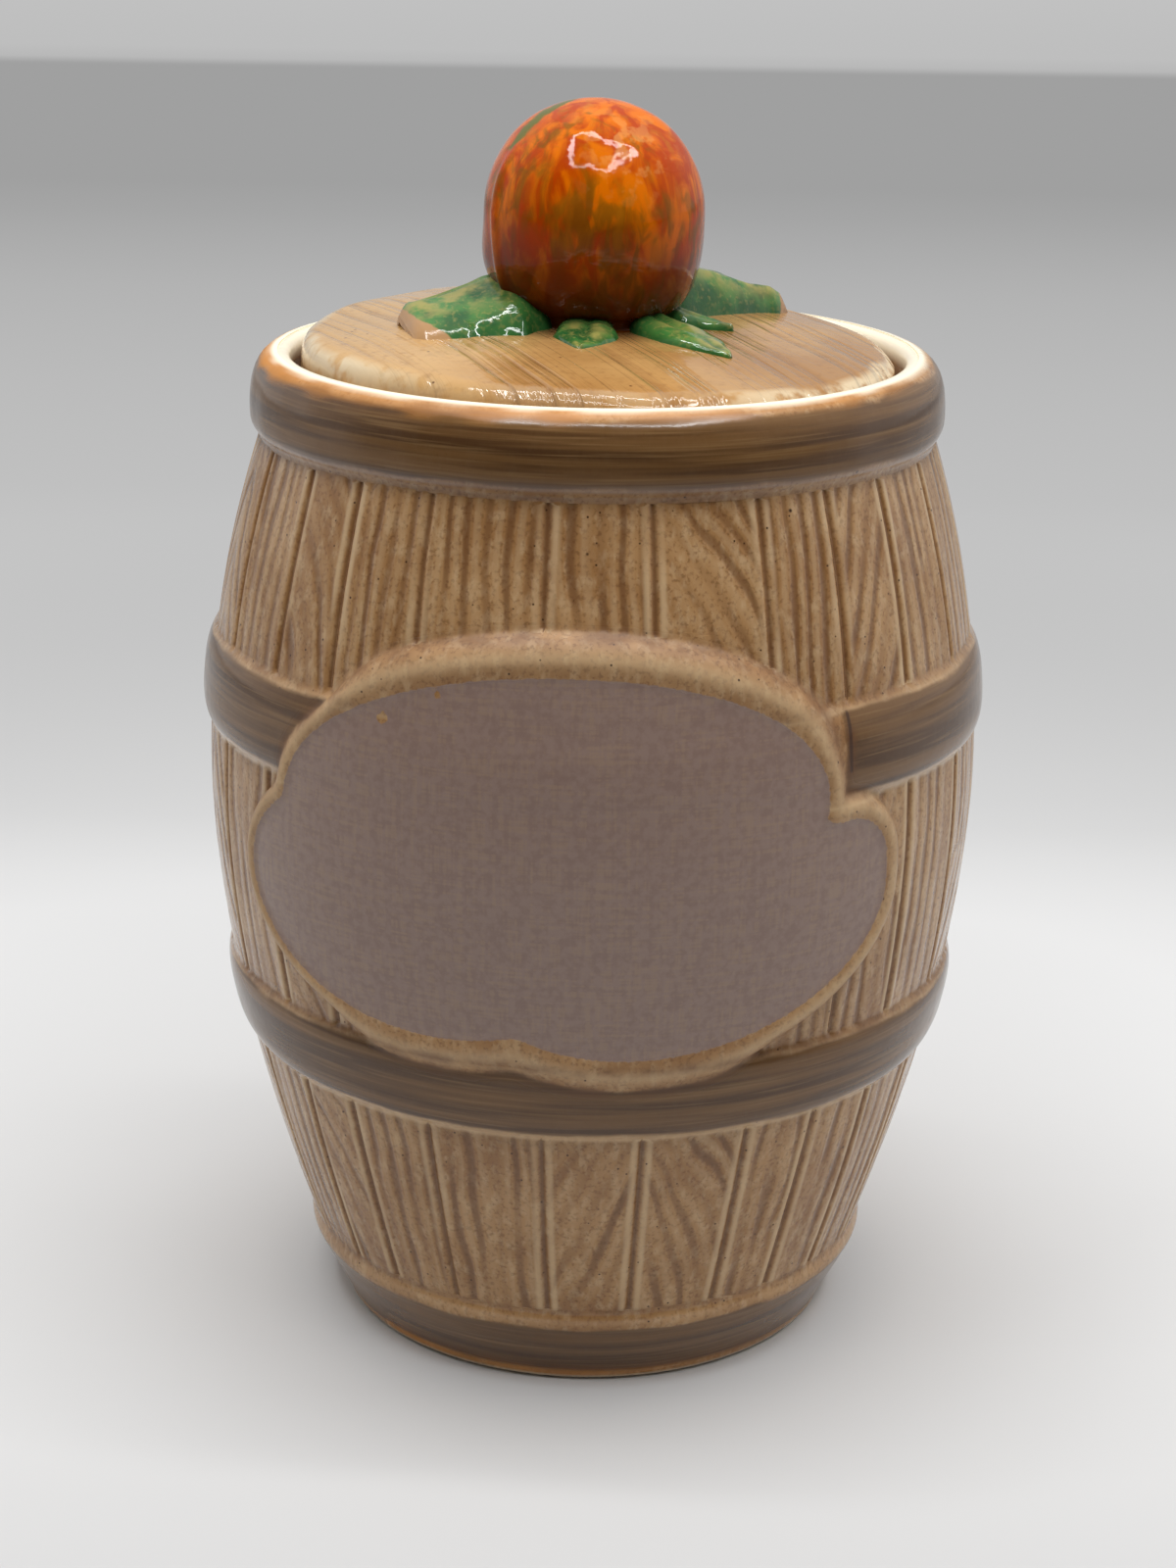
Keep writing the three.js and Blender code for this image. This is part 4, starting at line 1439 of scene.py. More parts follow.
@dataclass
class Hoops:
    """The four painted hoops round the jar, in millimetres."""

    surface: JarSurface
    toe: float = 1.5
    lift: float = 0.02
    depth: float = 1.2
    row_step: float = 0.42
    gap_half: float = 30.0
    crease: float = 60.0
    band_crease: float = 50.0
    rim: Profile = (
        (44.28, 122.0), (44.34, 122.4), (44.5, 122.8), (44.75, 123.15), (45.0, 123.5), (45.22, 123.95),
        (45.36, 124.5), (45.42, 125.2), (45.42, 126.2), (45.38, 127.2), (45.3, 128.1), (45.16, 129.0),
        (44.95, 129.8), (44.66, 130.6), (44.3, 131.25), (43.85, 131.85), (43.35, 132.3), (42.8, 132.62),
        (42.2, 132.8), (41.7, 132.84),
    )
    rim_back: Profile = ((41.7, 132.2), (42.4, 128.0), (43.2, 122.6))
    rim_columns: int = 360
    rim_sectors: int = 24
    rim_wave: float = 0.05
    rim_wave_start: tuple[float, float] = (122.5, 124.0)
    rim_paint: tuple[float, float] = (123.75, 132.2)
    # Level and width of the painted reflection on the rim hoop's lower lip.
    rim_lip_reflection: tuple[float, float] = (123.6, 0.4)
    rim_pool: tuple[float, float] = (122.2, 0.7)
    amber_levels: tuple[float, float] = (131.5, 132.4)
    amber_side: float = -48.0
    cream_radii: tuple[float, float] = (43.0, 42.4)
    cream_level: float = 131.0
    foot: Profile = (
        (33.2, 0.3), (33.75, 0.34), (34.05, 0.55), (34.2, 0.95), (34.42, 1.45), (34.75, 2.2), (35.2, 3.15),
        (35.72, 4.2), (36.26, 5.2), (36.8, 6.2), (37.34, 7.2), (37.8, 8.1), (38.16, 8.9), (38.5, 9.5),
        (38.8, 10.05), (38.95, 10.6), (38.98, 11.1), (38.9, 11.6), (38.74, 12.0), (38.62, 12.4),
    )
    foot_back: Profile = ((37.4, 13.6), (36.2, 9.0), (33.4, 1.5))
    foot_toe: float = 14.6
    foot_toe_rows: int = 5
    foot_toe_lift: float = 0.4
    foot_paint: tuple[float, float] = (1.5, 10.2)
    foot_pools: tuple[tuple[float, float, float], ...] = ((0.8, 12.6, 0.5), (0.9, 2.3, 0.4))
    foot_amber: tuple[float, float] = (1.3, 0.6)
    foot_amber_turn: tuple[float, float] = (-22.0, 40.0)
    foot_cream: tuple[float, float] = (0.75, 0.45)
    bead: tuple[float, float, float] = (0.3, 11.2, 0.8)

    def band(self, name: str, form: HoopForm) -> ClayMesh:
        """Turns one of the two hoops on the staves.

        Args:
            name: The hoop's name.
            form: Its place and height.

        Returns:
            The hoop, fused to the staves along its edges.
        """
        staves = self.surface.staves
        low, high = form.bottom - self.toe, form.top + self.toe
        heights = np.linspace(low, high, round((high - low) / self.row_step))
        edges = np.array([high, low])
        face = outline(staves.radius(heights) + form.rise, heights)
        back = outline(staves.radius(edges) - self.depth, edges)
        clay = ClayMesh.turned(name, [*face, *back], staves.round, closed=True)
        height = clay.points[:, 2]
        skin = self.surface.sample(clay.columns(staves.turn, staves.start), height)
        outer = clay.rows < len(face)
        clay.set_polar(np.where(outer, skin.hoops + self.lift, clay.radii), skin.azimuth, height)
        clay.write(skin.channels)
        clay.sharpen(self.band_crease)
        return clay

    def broken(self, clay: ClayMesh) -> ClayMesh:
        """Takes out the stretch of a hoop that would lie under the label, and closes its ends."""

        def cut(bm: bmesh.types.BMesh) -> None:
            """Deletes the stretch within the gap and fills the two ends."""
            limit = math.radians(self.gap_half)
            gone = [vert for vert in bm.verts if abs(math.atan2(vert.co.x, -vert.co.y)) < limit]
            bmesh.ops.delete(bm, geom=gone, context="VERTS")
            bmesh.ops.holes_fill(bm, edges=[edge for edge in bm.edges if edge.is_boundary], sides=0)

        clay.reshape(cut)
        return clay

    def rim_hoop(self) -> ClayMesh:
        """Turns the wide hoop round the rim, amber along its top."""
        turn = Turn.full(self.rim_columns, self.rim_sectors)
        clay = ClayMesh.turned("rim_hoop", [*self.rim, *self.rim_back], turn, closed=True)
        height, radius, azimuth = clay.points[:, 2], clay.radii, clay.azimuths
        noise = NoiseField(Seed.RIM)
        wave = noise.at(azimuth / (2 * np.pi) * noise.CELLS, height * 0.0)
        warm = 0.55 + 0.45 * np.cos(azimuth - math.radians(self.amber_side))
        swell = self.rim_wave * wave * smooth_step(*self.rim_wave_start, height)
        clay.set_polar(radius + swell, azimuth, height)
        top = smooth_step(*self.amber_levels, height + 0.25 * wave + 1.1 * (warm - 0.55))
        cream = smooth_step(*self.cream_radii, radius + 0.15 * wave)
        low, high = self.rim_paint
        clay.write({
            Channel.PAINT: np.minimum(height - low, high - height + 0.3 * wave),
            Channel.AMBER: top * (0.25 + 0.75 * warm),
            # Painted reflection along the rim hoop's lower lip.
            Channel.LIP: bell(height - self.rim_lip_reflection[0], self.rim_lip_reflection[1]),
            Channel.POOL_AND_SHADE: 0.8 * bell(height - self.rim_pool[0], self.rim_pool[1]),
            Channel.CREAM: cream * (height > self.cream_level),
        })
        clay.sharpen(self.crease)
        return clay

    def foot_hoop(self) -> ClayMesh:
        """Turns the band at the foot with the bead above it."""
        staves = self.surface.staves
        heights = np.linspace(staves.waist_height, self.foot_toe, self.foot_toe_rows)
        toe = outline(staves.radius(heights) + self.foot_toe_lift, heights)
        profile = [*self.foot, *toe, *self.foot_back]
        clay = ClayMesh.turned("foot_hoop", profile, staves.round, closed=True)
        rows, radius, height = clay.rows, clay.radii, clay.points[:, 2]
        raised = np.maximum(height, staves.waist_height)
        skin = self.surface.sample(clay.columns(staves.turn, staves.start), raised)
        on_staves = (rows >= len(self.foot)) & (rows < len(self.foot) + len(toe))
        clay.set_polar(np.where(on_staves, skin.staves + self.lift, radius), skin.azimuth, height)
        channels = {name: np.where(on_staves, values, BARE[name]) for name, values in skin.channels.items()}
        place, breadth = self.foot_amber_turn
        left = 0.25 + 0.75 * bell(np.degrees(skin.azimuth) - place, breadth)
        low, high = self.foot_paint
        channels[Channel.PAINT] = np.minimum(height - low, high - height)
        upper, lower = (share * bell(height - level, width) for share, level, width in self.foot_pools)
        channels[Channel.POOL_AND_SHADE] = np.maximum(upper, lower)
        channels[Channel.AMBER] = left * bell(height - self.foot_amber[0], self.foot_amber[1])
        channels[Channel.CREAM] = 0.6 * smooth_step(*self.foot_cream, height)
        channels[Channel.CREST] = self.bead[0] * bell(height - self.bead[1], self.bead[2])
        clay.write(channels)
        clay.sharpen(self.crease)
        return clay

    def dress(self, glaze: bpy.types.Material) -> None:
        """Paints the hoops and sets them on their body."""
        upper = self.broken(self.band("upper_hoop", self.surface.upper))
        lower = self.band("lower_hoop", self.surface.lower)
        for clay in (self.rim_hoop(), upper, lower, self.foot_hoop()):
            clay.piece(clay.name, Body.JAR, Slot.HOOP, glaze)


@dataclass
class Label:
    """The label's plaque and its bare print, in millimetres, with its stretch counted in columns."""

    surface: JarSurface
    first: int = -10
    sector: int = 18
    sectors: int = 12
    bottom: float = 46.0
    top: float = 110.0
    row_step: float = 0.45
    toe: float = 2.4
    lift: float = 0.035
    print_lift: float = 0.06
    print_toe: float = 0.7
    depth: float = 1.6

    def sheet(self, name: str, reach: float, lift: float, depth: float) -> ClayMesh:
        """A curved sheet over the label.

        Args:
            name: The sheet's name.
            reach: How far it goes past the print's edge.
            lift: Its height over the jar's surface.
            depth: Its thickness.

        Returns:
            The sheet with a wall and a back.
        """
        staves = self.surface.staves
        heights = np.linspace(self.bottom, self.top, round((self.top - self.bottom) / self.row_step))
        line = outline(np.full_like(heights, staves.belly_radius), heights)
        start = staves.start + self.first * 2 * math.pi / staves.turn
        clay = ClayMesh.turned(name, line, Turn(staves.turn, self.sector, self.sectors, start))
        skin = self.surface.sample(clay.columns(staves.turn, staves.start), clay.points[:, 2])
        clay.set_polar(skin.whole + lift, skin.azimuth, clay.points[:, 2])
        clay.write(skin.channels)

        def trim(bm: bmesh.types.BMesh) -> None:
            """Deletes the vertices past the sheet's reach and those left without a face."""
            away = skin.label
            gone = [vert for vert in bm.verts if away[vert.index] > reach]
            bmesh.ops.delete(bm, geom=gone, context="VERTS")
            stray = [vert for vert in bm.verts if not vert.link_faces]
            bmesh.ops.delete(bm, geom=stray, context="VERTS")

        clay.reshape(trim)

        def inward(point: Vector) -> Vector:
            """A point moved towards the jar's axis by the sheet's thickness."""
            span = math.hypot(point.x, point.y)
            shrink = (span - depth * MM) / span
            return Vector((point.x * shrink, point.y * shrink, point.z))

        clay.close_behind(inward)
        return clay

    def dress(self, plaque_glaze: bpy.types.Material, print_glaze: bpy.types.Material) -> None:
        """Glazes the plaque and its print and sets them on their body."""
        border = self.surface.label.border
        plaque = self.sheet("label_plaque", border + self.toe, self.lift, self.depth)
        plaque.piece("label_plaque", Body.JAR, Slot.TAN, plaque_glaze)
        panel = self.sheet("label_panel", self.print_toe, self.print_lift, self.depth / 2)
        panel.piece("label_panel", Body.JAR, Slot.LABEL, print_glaze)


@dataclass
class Lid:
    """The domed lid with its rounded edge, seat and centring ring, in millimetres."""

    radius: float = 38.7
    edge_top: float = 133.7
    rise: float = 3.0
    round: float = 3.0
    lean: tuple[float, float] = (-0.036, 0.032)
    columns: int = 300
    sectors: int = 20
    dome_rows: int = 34
    corner_turns: tuple[float, ...] = (12.0, 24.0, 36.0, 48.0, 60.0, 70.0, 80.0, 90.0)
    vent: float = 2.5
    below: Profile = (
        (38.7, 130.4), (38.68, 129.4), (38.5, 128.8), (38.1, 128.4), (37.5, 128.3), (36, 128.3),
        (34.9, 128.3), (34.6, 128.0), (34.5, 126), (34.3, 123.6), (34.0, 122.7), (33.3, 122.3),
        (32.4, 122.3), (31.7, 122.7), (31.4, 123.6), (31.3, 126), (30.9, 127.6), (29.8, 128.5),
        (27, 129.3), (20, 130.5), (12, 131.3), (5, 131.6), (3.2, 131.7), (2.6, 132.0), (2.5, 133),
        (2.5, 135.4),
    )
    lean_start: tuple[float, float] = (-10.0, 14.0)
    upper_levels: tuple[float, float] = (130.4, 133.2)
    uneven: float = 0.22
    uneven_run: float = 11.0
    edge_band: tuple[float, float] = (2.6, 0.9)
    edge_ends: tuple[float, float] = (0.3, 0.8)
    # Radii over which glaze pools and shade is painted round the orange's base.
    pool_and_shade_radii: tuple[float, float] = (16.5, 10.5)
    # Places across where the left side turns paler, partly glaze and partly painted light.
    pale_and_lit_places: tuple[float, float] = (4.0, -26.0)
    crease: float = 50.0

    def dome(self, radius: Array) -> Array:
        """Height of the lid's top at a radius."""
        return self.edge_top + self.rise * (1.0 - (radius / self.radius) ** 2)

    def top(self, x: Array, y: Array) -> Array:
        """Height of the lid's top, which is thicker at its back left than at its front right.

        Args:
            x: Places to the right.
            y: Places to the back.

        Returns:
            One height for each place.
        """
        right, back = self.lean
        return self.dome(np.hypot(x, y)) + right * x + back * y * smooth_step(*self.lean_start, y)

    def build(self) -> ClayMesh:
        """Turns the lid and works its top a little uneven by hand."""
        flat = self.radius - self.round
        radii = np.linspace(self.vent, flat, self.dome_rows)
        top = outline(radii, self.dome(radii))
        turns = np.radians(self.corner_turns)
        start = self.dome(np.array(flat)) - self.round
        corner = outline(flat + self.round * np.sin(turns), start + self.round * np.cos(turns))
        turn = Turn.full(self.columns, self.sectors)
        clay = ClayMesh.turned("lid_plate", [*top, *corner, *self.below], turn, closed=True)
        points, radius = clay.points, clay.radii
        above = clay.rows < len(top) + len(corner)
        upper = smooth_step(*self.upper_levels, points[:, 2]) * above
        noise = NoiseField(Seed.LID)
        middle = noise.CELLS // 2
        run = points / self.uneven_run + middle
        uneven = self.uneven * noise.at(run[:, 0], run[:, 1])
        lean = self.top(points[:, 0], points[:, 1]) - self.dome(radius)
        points[:, 2] += (uneven + lean) * upper
        clay.points = points
        wave = noise.at(points[:, 0] / 6 + 7, points[:, 1] / 6 + 9)
        inner, outer = self.edge_band
        edge = smooth_step(self.radius - inner, self.radius - outer, radius + 0.9 * wave)
        ends = 0.2 + 0.8 * smooth_step(*self.edge_ends, np.abs(points[:, 0]) / self.radius)
        clay.write({
            Channel.CREST: ends * edge * upper,
            Channel.LIP: np.where(above, 0.0, 1.0),
            # Pooled glaze and painted shade round the orange's base.
            Channel.POOL_AND_SHADE: smooth_step(*self.pool_and_shade_radii, radius + 1.5 * wave) * upper,
            # Paler left side, partly painted light.
            Channel.CREAM: smooth_step(*self.pale_and_lit_places, points[:, 0] + 5.0 * wave) * upper,
        })
        clay.sharpen(self.crease)
        return clay

    def dress(self, glaze: bpy.types.Material) -> None:
        """Glazes the lid and sets it on its body."""
        self.build().piece("lid_plate", Body.LID, Slot.LID, glaze)


@dataclass
class Knob:
    """The hollow orange on the lid, in millimetres.

    Places on its skin are in degrees, and the levels where the seam ends are in radians.
    """

    radius: float = 14.4
    centre: float = 150.4
    aside: float = -0.8
    wall: float = 3.4
    columns: int = 200
    sectors: int = 20
    skin_rows: int = 54
    hollow_rows: int = 14
    vent: float = 4.0
    base: float = 10.0
    fullness: float = 1.5
    neck: Profile = (
        (9.85, 137.5), (9.75, 137.1), (9.85, 136.7), (10.2, 136.3), (10.9, 135.95), (11.2, 135.5),
        (11.0, 135.0), (4.2, 135.0), (4.0, 136.5), (4.0, 138.6),
    )
    lump: float = 0.28
    lump_run: float = 6.0
    lumps_round: float = 5.0
    seam: float = -53.0
    seam_rise: float = 0.42
    seam_width: float = 0.75
    seam_levels: tuple[float, float] = (0.75, 0.3)
    # Levels over which the orange turns brown and darker, partly as painted shade, towards its base.
    foot_and_shade_levels: tuple[float, float] = (4.0, -11.5)
    dry_patch: tuple[float, float, float] = (-20.0, -5.0, 50.0)
    flaked_patch: tuple[float, float, float] = (30.0, 42.0, 24.0)
    stroke_half: float = 1.9
    stroke: tuple[tuple[float, float], tuple[float, float]] = ((-57.0, 35.0), (-86.0, 80.0))

    def build(self) -> ClayMesh:
        """Turns the orange and its hollow and works the skin."""
        lowest = math.asin((self.base / self.radius) ** self.fullness)
        turns = np.linspace(0.0, math.pi - lowest, self.skin_rows)
        powers = np.where(turns > math.pi / 2, 1.0 / self.fullness, 1.0)
        wide = self.radius * np.sin(turns) ** powers
        tall = self.radius * np.sign(np.cos(turns)) * np.abs(np.cos(turns)) ** powers
        skin = outline(wide, self.centre + tall)
        inner = self.radius - self.wall
        bends = np.linspace(math.pi - math.asin(self.vent / inner), 0.0, self.hollow_rows)
        hollow = outline(inner * np.sin(bends), self.centre + inner * np.cos(bends))
        turn = Turn.full(self.columns, self.sectors)
        clay = ClayMesh.turned("orange_knob", [*skin, *self.neck, *hollow], turn)
        points, azimuth = clay.points, clay.azimuths
        height = points[:, 2] - self.centre
        noise = NoiseField(Seed.ORANGE)
        outer = clay.rows < len(skin)
        cells = azimuth / (2 * np.pi) * noise.CELLS / self.lumps_round
        lumps = self.lump * noise.at(cells, height / self.lump_run + 20)
        lumps = lumps * smooth_step(self.radius, self.radius * 0.8, np.abs(height))
        aside = wrapped(azimuth - math.radians(self.seam))
        level = np.arcsin(np.clip(height / self.radius, -1, 1))
        seam = self.seam_rise * bell(aside * self.radius * np.cos(level), self.seam_width)
        seam = seam * smooth_step(*self.seam_levels, level)
        swell = 1.0 + np.where(outer, lumps + seam, 0.0) / self.radius
        points[:, :2] *= swell[:, None]
        points[:, 0] += self.aside
        points[:, 2] = self.centre + height * np.where(outer, swell, 1.0)
        clay.points = points
        clay.write({
            # Brown glaze and painted shade towards the orange's base.
            Channel.POOL_AND_SHADE: smooth_step(*self.foot_and_shade_levels, height + 1.6 * noise.at(azimuth * 5, height / 3)),
            Channel.GRAIN: self.patch(azimuth, level, *self.dry_patch),
            Channel.CREST: self.patch(azimuth, level, *self.flaked_patch),
            Channel.PAINT: self.stroke_edge(azimuth, level),
        })
        return clay

    def patch(self, azimuth: Array, level: Array, place: float, height: float, size: float) -> Array:
        """A soft patch on the skin.

        Args:
            azimuth: Azimuths from the front, in radians.
            level: Angles above the orange's middle, in radians.
            place: Azimuth of the patch in degrees.
            height: Its angle above the middle in degrees.
            size: Its half width in degrees.

        Returns:
            Shares from 0 to 1.
        """
        turn = wrapped(azimuth - math.radians(place))
        return bell(np.degrees(np.hypot(turn * np.cos(level), level - math.radians(height))), size)

    def stroke_edge(self, azimuth: Array, level: Array) -> Array:
        """Distance inside the green brush stroke near the top, in millimetres.

        Args:
            azimuth: Azimuths from the front, in radians.
            level: Angles above the orange's middle, in radians.

        Returns:
            One distance for each point.
        """
        ends = []
        for place, height in self.stroke:
            a, b = math.radians(place), math.radians(height)
            ends.append(np.array([math.sin(a) * math.cos(b), -math.cos(a) * math.cos(b), math.sin(b)]))
        flat = np.cos(level)
        at = np.stack([np.sin(azimuth) * flat, -np.cos(azimuth) * flat, np.sin(level)], axis=1)
        along = ends[1] - ends[0]
        share = np.clip((at - ends[0]) @ along / (along @ along), 0.0, 1.0)
        away = np.linalg.norm(at - ends[0] - share[:, None] * along, axis=1) * self.radius
        return self.stroke_half * np.sin(np.pi * (0.1 + 0.8 * share)) - away

    def dress(self, glaze: bpy.types.Material) -> None:
        """Glazes the orange and sets it on its body."""
        self.build().piece("orange_knob", Body.LID, Slot.ORANGE, glaze)


@dataclass(frozen=True)
class LeafForm:
    """One leaf: its way out from the orange and its outline, in millimetres and degrees.

    Each rib is the distance along the leaf, the half widths on its two sides, and its height over the lid.
    """

    node: str
    azimuth: float
    ribs: tuple[tuple[float, float, float, float], ...]
    ridge: float
    bluff: float
    bare_tip: float = 0.0
    bare_rise: float = 0.0


@dataclass
class Leaves:
    """The five leaves that lie on the lid round the orange."""

    lid: Lid
    along: int = 44
    across: int = 26
    sink: float = 0.3
    skirt: float = 0.9
    crowding: float = 1.3
    rough: float = 0.1
    roundness: float = 0.75
    vein_depth: float = 0.3
    vein_width: float = 0.55
    fold_depth: float = 0.22
    full_cover: float = 9.0
    forms: tuple[LeafForm, ...] = (
        LeafForm("left_leaf", 203.0, (
            (7.0, 3.0, 4.5, 6.6), (9.5, 4.2, 8.0, 7.2), (12.5, 4.8, 9.6, 6.4), (16.0, 5.2, 9.6, 5.2),
            (19.5, 5.2, 9.2, 4.2), (22.5, 4.8, 8.8, 3.6), (25.0, 3.8, 8.0, 3.2), (26.4, 2.6, 7.0, 2.5),
        ), -0.3, 1.8, 5.2, 2.0),
        LeafForm("front_leaf", 269.0, (
            (8.0, 3.0, 3.0, 2.8), (11.0, 4.2, 3.9, 1.7), (14.0, 4.1, 4.0, 1.1), (17.0, 2.4, 2.9, 0.8),
            (19.6, 0.5, 0.5, 0.6),
        ), 0.0, 3.4),
        LeafForm("front_right_leaf", 319.0, (
            (8.0, 3.0, 3.2, 3.0), (11.5, 3.9, 4.4, 2.0), (15.5, 3.9, 5.1, 1.5), (20.0, 2.5, 3.5, 1.1),
            (24.2, 0.3, 0.3, 0.6),
        ), 0.1, 3.0),
        LeafForm("side_leaf", 4.0, (
            (8.5, 2.2, 2.2, 2.9), (11.5, 2.8, 2.8, 1.8), (14.5, 1.8, 1.8, 1.2), (17.6, 0.3, 0.3, 0.7),
        ), 0.0, 3.0),
        LeafForm("right_leaf", 47.0, (
            (8.5, 3.4, 3.4, 7.4), (12.0, 3.8, 4.2, 7.0), (17.7, 3.2, 4.6, 5.9), (23.0, 2.6, 4.4, 4.9),
            (27.0, 2.2, 4.2, 3.9), (30.8, 1.8, 3.8, 3.5), (32.8, 1.2, 2.8, 2.6), (34.2, 0.5, 1.2, 1.0),
        ), 0.2, 1.9, 2.6, 0.4),
    )

    def build(self, form: LeafForm) -> ClayMesh:
        """Shapes a grid into a plump leaf that lies on the lid.

        Args:
            form: The leaf's shape.

        Returns:
            The leaf with its skirt below the lid's surface.
        """
        bm = bmesh.new()
        bmesh.ops.create_grid(bm, x_segments=self.along, y_segments=self.across, size=1.0)
        clay = ClayMesh(bm, form.node)
        grid = clay.points * MM
        ribs = np.array(form.ribs)
        share = (grid[:, 0] + 1.0) / 2.0
        reach = ribs[0, 0] + (ribs[-1, 0] - ribs[0, 0]) * (1.0 - (1.0 - share) ** self.crowding)
        side = grid[:, 1]
        near, far = (np.interp(reach, ribs[:, 0], ribs[:, column]) for column in (1, 2))
        noise = NoiseField(Seed.LEAF)
        shift = form.azimuth * 0.7
        rough = 1.0 + self.rough * noise.at(reach / 2.6 + shift, np.sign(side) * 3.0 + 20.0)
        offset = np.where(side < 0, near, far) * side * rough
        turn = math.radians(form.azimuth)
        x = reach * math.cos(turn) - offset * math.sin(turn)
        y = reach * math.sin(turn) + offset * math.cos(turn)
        lid_top = self.lid.top(x, y)
        tall = np.interp(reach, ribs[:, 0], ribs[:, 3])
        away = side - form.ridge
        fold = np.where(away > 0, away / (1 - form.ridge), -away / (1 + form.ridge))
        body = (1.0 - np.clip(fold, 0, 1) ** form.bluff) ** self.roundness
        tip = smooth_step(0.0, 0.12, 1.0 - share) * 0.3 + 0.7
        vein = self.vein_depth * bell(fold * (near + far) / 2, self.vein_width)
        vein = vein * smooth_step(0.0, 0.3, 1 - share)
        folds = self.fold_depth * noise.at(reach / 2.2 + shift, side * 2.4 + 9.0)
        height = (tall * tip + folds) * body - vein * body
        edge = np.minimum(1.0 - np.abs(side), (1.0 - share) * 3.0)
        z = lid_top + height - self.sink * smooth_step(0.16, 0.0, edge)
        clay.points = np.stack([x, y, z], axis=1)
        painted = -form.bare_tip if form.bare_tip else self.full_cover
        clay.write({
            Channel.CREST: bell(fold - 0.35, 0.3) * smooth_step(0.05, 0.4, share),
            # Pooled glaze and painted shade at the root by the orange and along the edges.
            Channel.POOL_AND_SHADE: np.maximum(smooth_step(0.3, 0.0, share), 0.8 * smooth_step(0.25, 0.0, edge)),
            Channel.PAINT: ribs[-1, 0] - reach + form.bare_rise * height + painted,
        })
        clay.close_behind(lambda point: Vector((point.x, point.y, point.z - self.skirt * MM)))
        return clay

    def dress(self, glaze: bpy.types.Material) -> None:
        """Glazes the leaves and sets them on their body."""
        for form in self.forms:
            self.build(form).piece(form.node, Body.LID, Slot.LEAF, glaze)


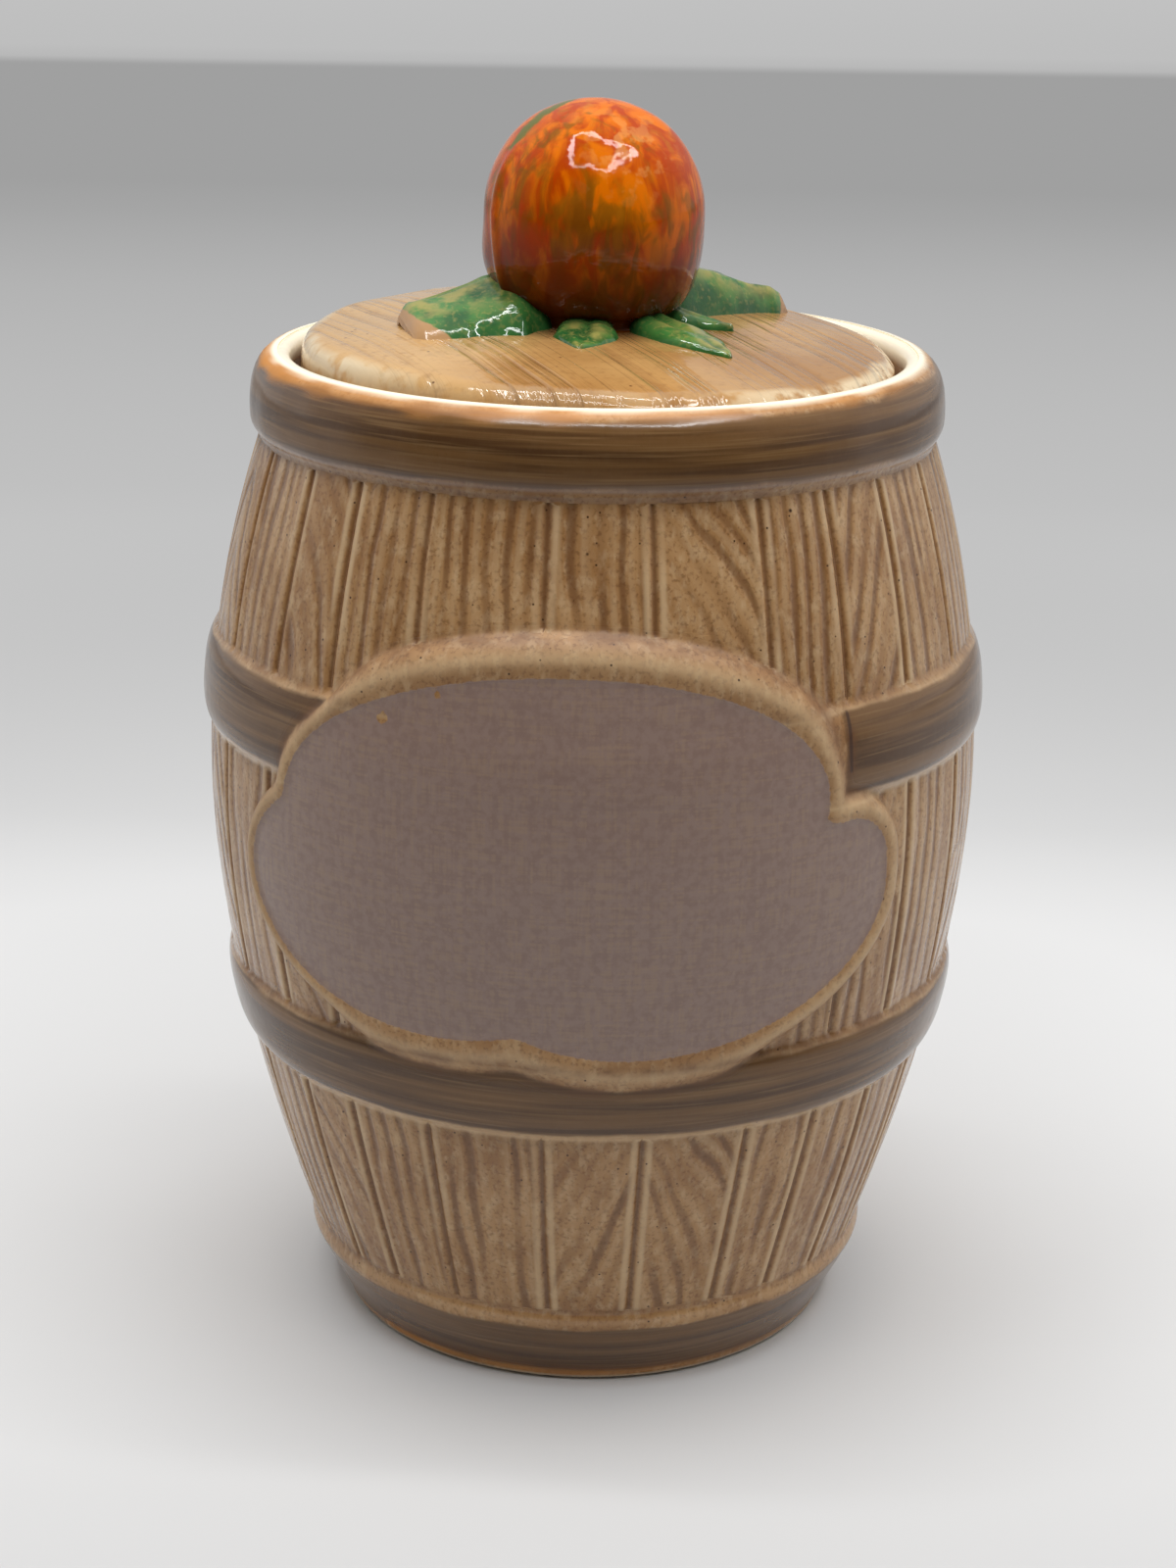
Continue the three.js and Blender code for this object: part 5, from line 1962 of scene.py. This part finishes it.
@dataclass
class Studio:
    """The pale floor, the soft lamps and the camera, in metres.

    The azimuth of the view is in degrees, and the camera's pitch and roll are in radians.
    """

    floor_reach: float = 4.0
    floor_sides: int = 96
    floor_roughness: float = 0.75
    floor_tones: tuple[tuple[float, float], ...] = (
        (-0.75, 56.0), (-0.4, 130.0), (-0.13, 192.0), (-0.078, 203.0), (-0.03, 217.0), (0.03, 226.0),
        (0.11, 225.0), (0.15, 224.0), (0.185, 216.0), (0.2, 211.0), (0.3, 206.0), (0.39, 200.0),
        (0.51, 192.0), (0.68, 187.0), (0.91, 179.0), (1.17, 165.0), (1.3, 160.0), (2.1, 160.0),
        (2.17, 184.0), (2.3, 190.0), (4.0, 196.0),
    )
    glow_start: float = 0.24
    glow_end: float = 0.5
    frame_middle: Vector = field(default_factory=lambda: Vector((0.05, -0.17, 0.62)))
    strips: tuple[tuple[str, tuple[float, float], tuple[float, float]], ...] = (
        ("front", (0.46, 0.034), (0.0, -0.17)), ("back", (0.46, 0.034), (0.0, 0.17)),
        ("left", (0.034, 0.34), (-0.23, 0.0)), ("right", (0.034, 0.34), (0.23, 0.0)),
    )
    strip_power: float = 1.08
    room_levels: tuple[tuple[float, float, float, float], ...] = (
        (-0.75, 0.35, 0.05, 0.81), (0.5, 1.0, 0.0, -0.36),
    )
    azimuth: float = 6.0
    back: float = 0.3828
    aside: float = -0.0005
    height: float = 0.1988
    pitch: float = 0.318
    roll: float = 0.0145
    lens: float = 67.5
    sensor: float = 36.0
    nearest: float = 0.01

    def floor(self) -> None:
        """Lays the pale floor, whose tone changes with the distance from the jar."""
        bm = bmesh.new()
        bmesh.ops.create_circle(bm, cap_ends=True, segments=self.floor_sides, radius=self.floor_reach)
        mesh = bpy.data.meshes.new("studio_floor")
        bm.to_mesh(mesh)
        bm.free()
        sketch = NodeSketch("pale floor")
        turn = math.radians(self.azimuth)
        ahead = {0: sketch.place, 1: (-math.sin(turn), math.cos(turn), 0.0)}
        behind = sketch.node("ShaderNodeVectorMath", ahead, operation="DOT_PRODUCT").outputs["Value"]
        first, last = self.floor_tones[0][0], self.floor_tones[-1][0]
        span = {"Value": behind, "From Min": first, "From Max": last}
        share = sketch.node("ShaderNodeMapRange", span).outputs["Result"]
        ramp = sketch.node("ShaderNodeValToRGB", {"Fac": share})
        points = ramp.color_ramp.elements
        while len(points) < len(self.floor_tones):
            points.new(0.5)
        for point, (reach, grey) in zip(points, self.floor_tones):
            point.position = (reach - first) / (last - first)
            point.color = tone(grey, grey, grey)
        colour = ramp.outputs["Color"]
        sketch.surface(Base_Color=colour, Roughness=self.floor_roughness)
        self.far_glow(sketch, colour)
        mesh.materials.append(sketch.material)
        made = bpy.data.objects.new("studio_floor", mesh)
        bpy.context.scene.collection.objects.link(made)

    def far_glow(self, sketch: NodeSketch, colour: bpy.types.NodeSocket) -> None:
        """Shows the far floor in its own tone, with the shadow kept near the jar.

        Args:
            sketch: The floor's tree.
            colour: The floor's tone.
        """
        length = sketch.node("ShaderNodeVectorMath", {0: sketch.place}, operation="LENGTH").outputs["Value"]
        path = sketch.node("ShaderNodeLightPath").outputs
        seen = sketch.math("MAXIMUM", path["Is Camera Ray"], path["Is Glossy Ray"])
        seen = sketch.math("MAXIMUM", seen, path["Is Transmission Ray"])
        share = sketch.math("MULTIPLY", seen, sketch.ramp(length, self.glow_start, self.glow_end))
        glow = sketch.node("ShaderNodeEmission", {"Color": colour}).outputs[0]
        inputs = {0: share, 1: sketch.shader.outputs["BSDF"], 2: glow}
        mixed = sketch.node("ShaderNodeMixShader", inputs).outputs[0]
        sketch.feed(sketch.output.inputs["Surface"], mixed)

    def lamp(self, name: str, size: tuple[float, float], place: Vector, power: float) -> None:
        """Hangs a flat lamp that shines straight down.

        Args:
            name: The lamp's name.
            size: Its width and depth.
            place: Where it hangs.
            power: Its power in watts.
        """
        light = bpy.data.lights.new(name, "AREA")
        light.shape = "RECTANGLE"
        light.size, light.size_y = size
        light.energy = power
        made = bpy.data.objects.new(name, light)
        made.location = place
        bpy.context.scene.collection.objects.link(made)

    def world(self) -> None:
        """Lights the room softly, bright at the sides, dimmer behind the jar and dim behind the camera."""
        world = bpy.data.worlds.new("studio room")
        bpy.context.scene.world = world
        world.use_nodes = True
        tree = world.node_tree
        tree.nodes.clear()
        place = tree.nodes.new("ShaderNodeTexCoord")
        split = tree.nodes.new("ShaderNodeSeparateXYZ")
        tree.links.new(place.outputs["Generated"], split.inputs["Vector"])
        levels = []
        for low, high, bottom, top in self.room_levels:
            level = tree.nodes.new("ShaderNodeMapRange")
            level.interpolation_type = "SMOOTHSTEP"
            for key, value in (("From Min", low), ("From Max", high), ("To Min", bottom), ("To Max", top)):
                level.inputs[key].default_value = value
            tree.links.new(split.outputs["Y"], level.inputs["Value"])
            levels.append(level.outputs["Result"])
        total = tree.nodes.new("ShaderNodeMath")
        for number, level in enumerate(levels):
            tree.links.new(level, total.inputs[number])
        room = tree.nodes.new("ShaderNodeBackground")
        tree.links.new(total.outputs[0], room.inputs["Strength"])
        room.inputs["Color"].default_value = (1.0, 1.0, 1.0, 1.0)
        output = tree.nodes.new("ShaderNodeOutputWorld")
        tree.links.new(room.outputs[0], output.inputs["Surface"])

    def camera(self) -> None:
        """Sets the camera at the photograph's viewing angle."""
        turn = math.radians(self.azimuth)
        right = Vector((math.cos(turn), math.sin(turn), 0.0))
        ahead = Vector((-math.sin(turn), math.cos(turn), 0.0))
        up = Vector((0.0, 0.0, 1.0))
        place = -self.back * ahead + self.aside * right + self.height * up
        view = ahead * math.cos(self.pitch) - up * math.sin(self.pitch)
        top = ahead * math.sin(self.pitch) + up * math.cos(self.pitch)
        tilted = right * math.cos(self.roll) + top * math.sin(self.roll)
        upright = top * math.cos(self.roll) - right * math.sin(self.roll)
        data = bpy.data.cameras.new("studio_camera")
        data.lens, data.sensor_width, data.clip_start = self.lens, self.sensor, self.nearest
        made = bpy.data.objects.new("studio_camera", data)
        turned = Matrix((tilted, upright, -view)).transposed().to_4x4()
        made.matrix_world = Matrix.Translation(place) @ turned
        bpy.context.scene.collection.objects.link(made)
        bpy.context.scene.camera = made

    def build(self) -> None:
        """Sets up the floor, the lamps, the room and the camera."""
        bpy.context.scene.view_settings.view_transform = "Standard"
        self.floor()
        for name, size, shift in self.strips:
            self.lamp(f"{name}_strip", size, self.frame_middle + Vector((*shift, 0.0)), self.strip_power)
        self.world()
        self.camera()


def main() -> None:
    """Builds the studio and the jar's pieces in order."""
    logging.basicConfig(level=logging.INFO, format="%(name)s: %(message)s")
    Studio().build()
    surface = JarSurface()
    tan_glaze = JarGlaze("tan stave glaze").build()
    Barrel(surface).dress(tan_glaze)
    Hoops(surface).dress(JarGlaze("brown hoop glaze").build())
    Label(surface).dress(tan_glaze, JarGlaze("bare label print").build())
    lid = Lid()
    lid.dress(LidGlaze().build())
    Knob().dress(OrangeGlaze().build())
    Leaves(lid).dress(LeafGlaze().build())


if __name__ == "__main__":
    main()
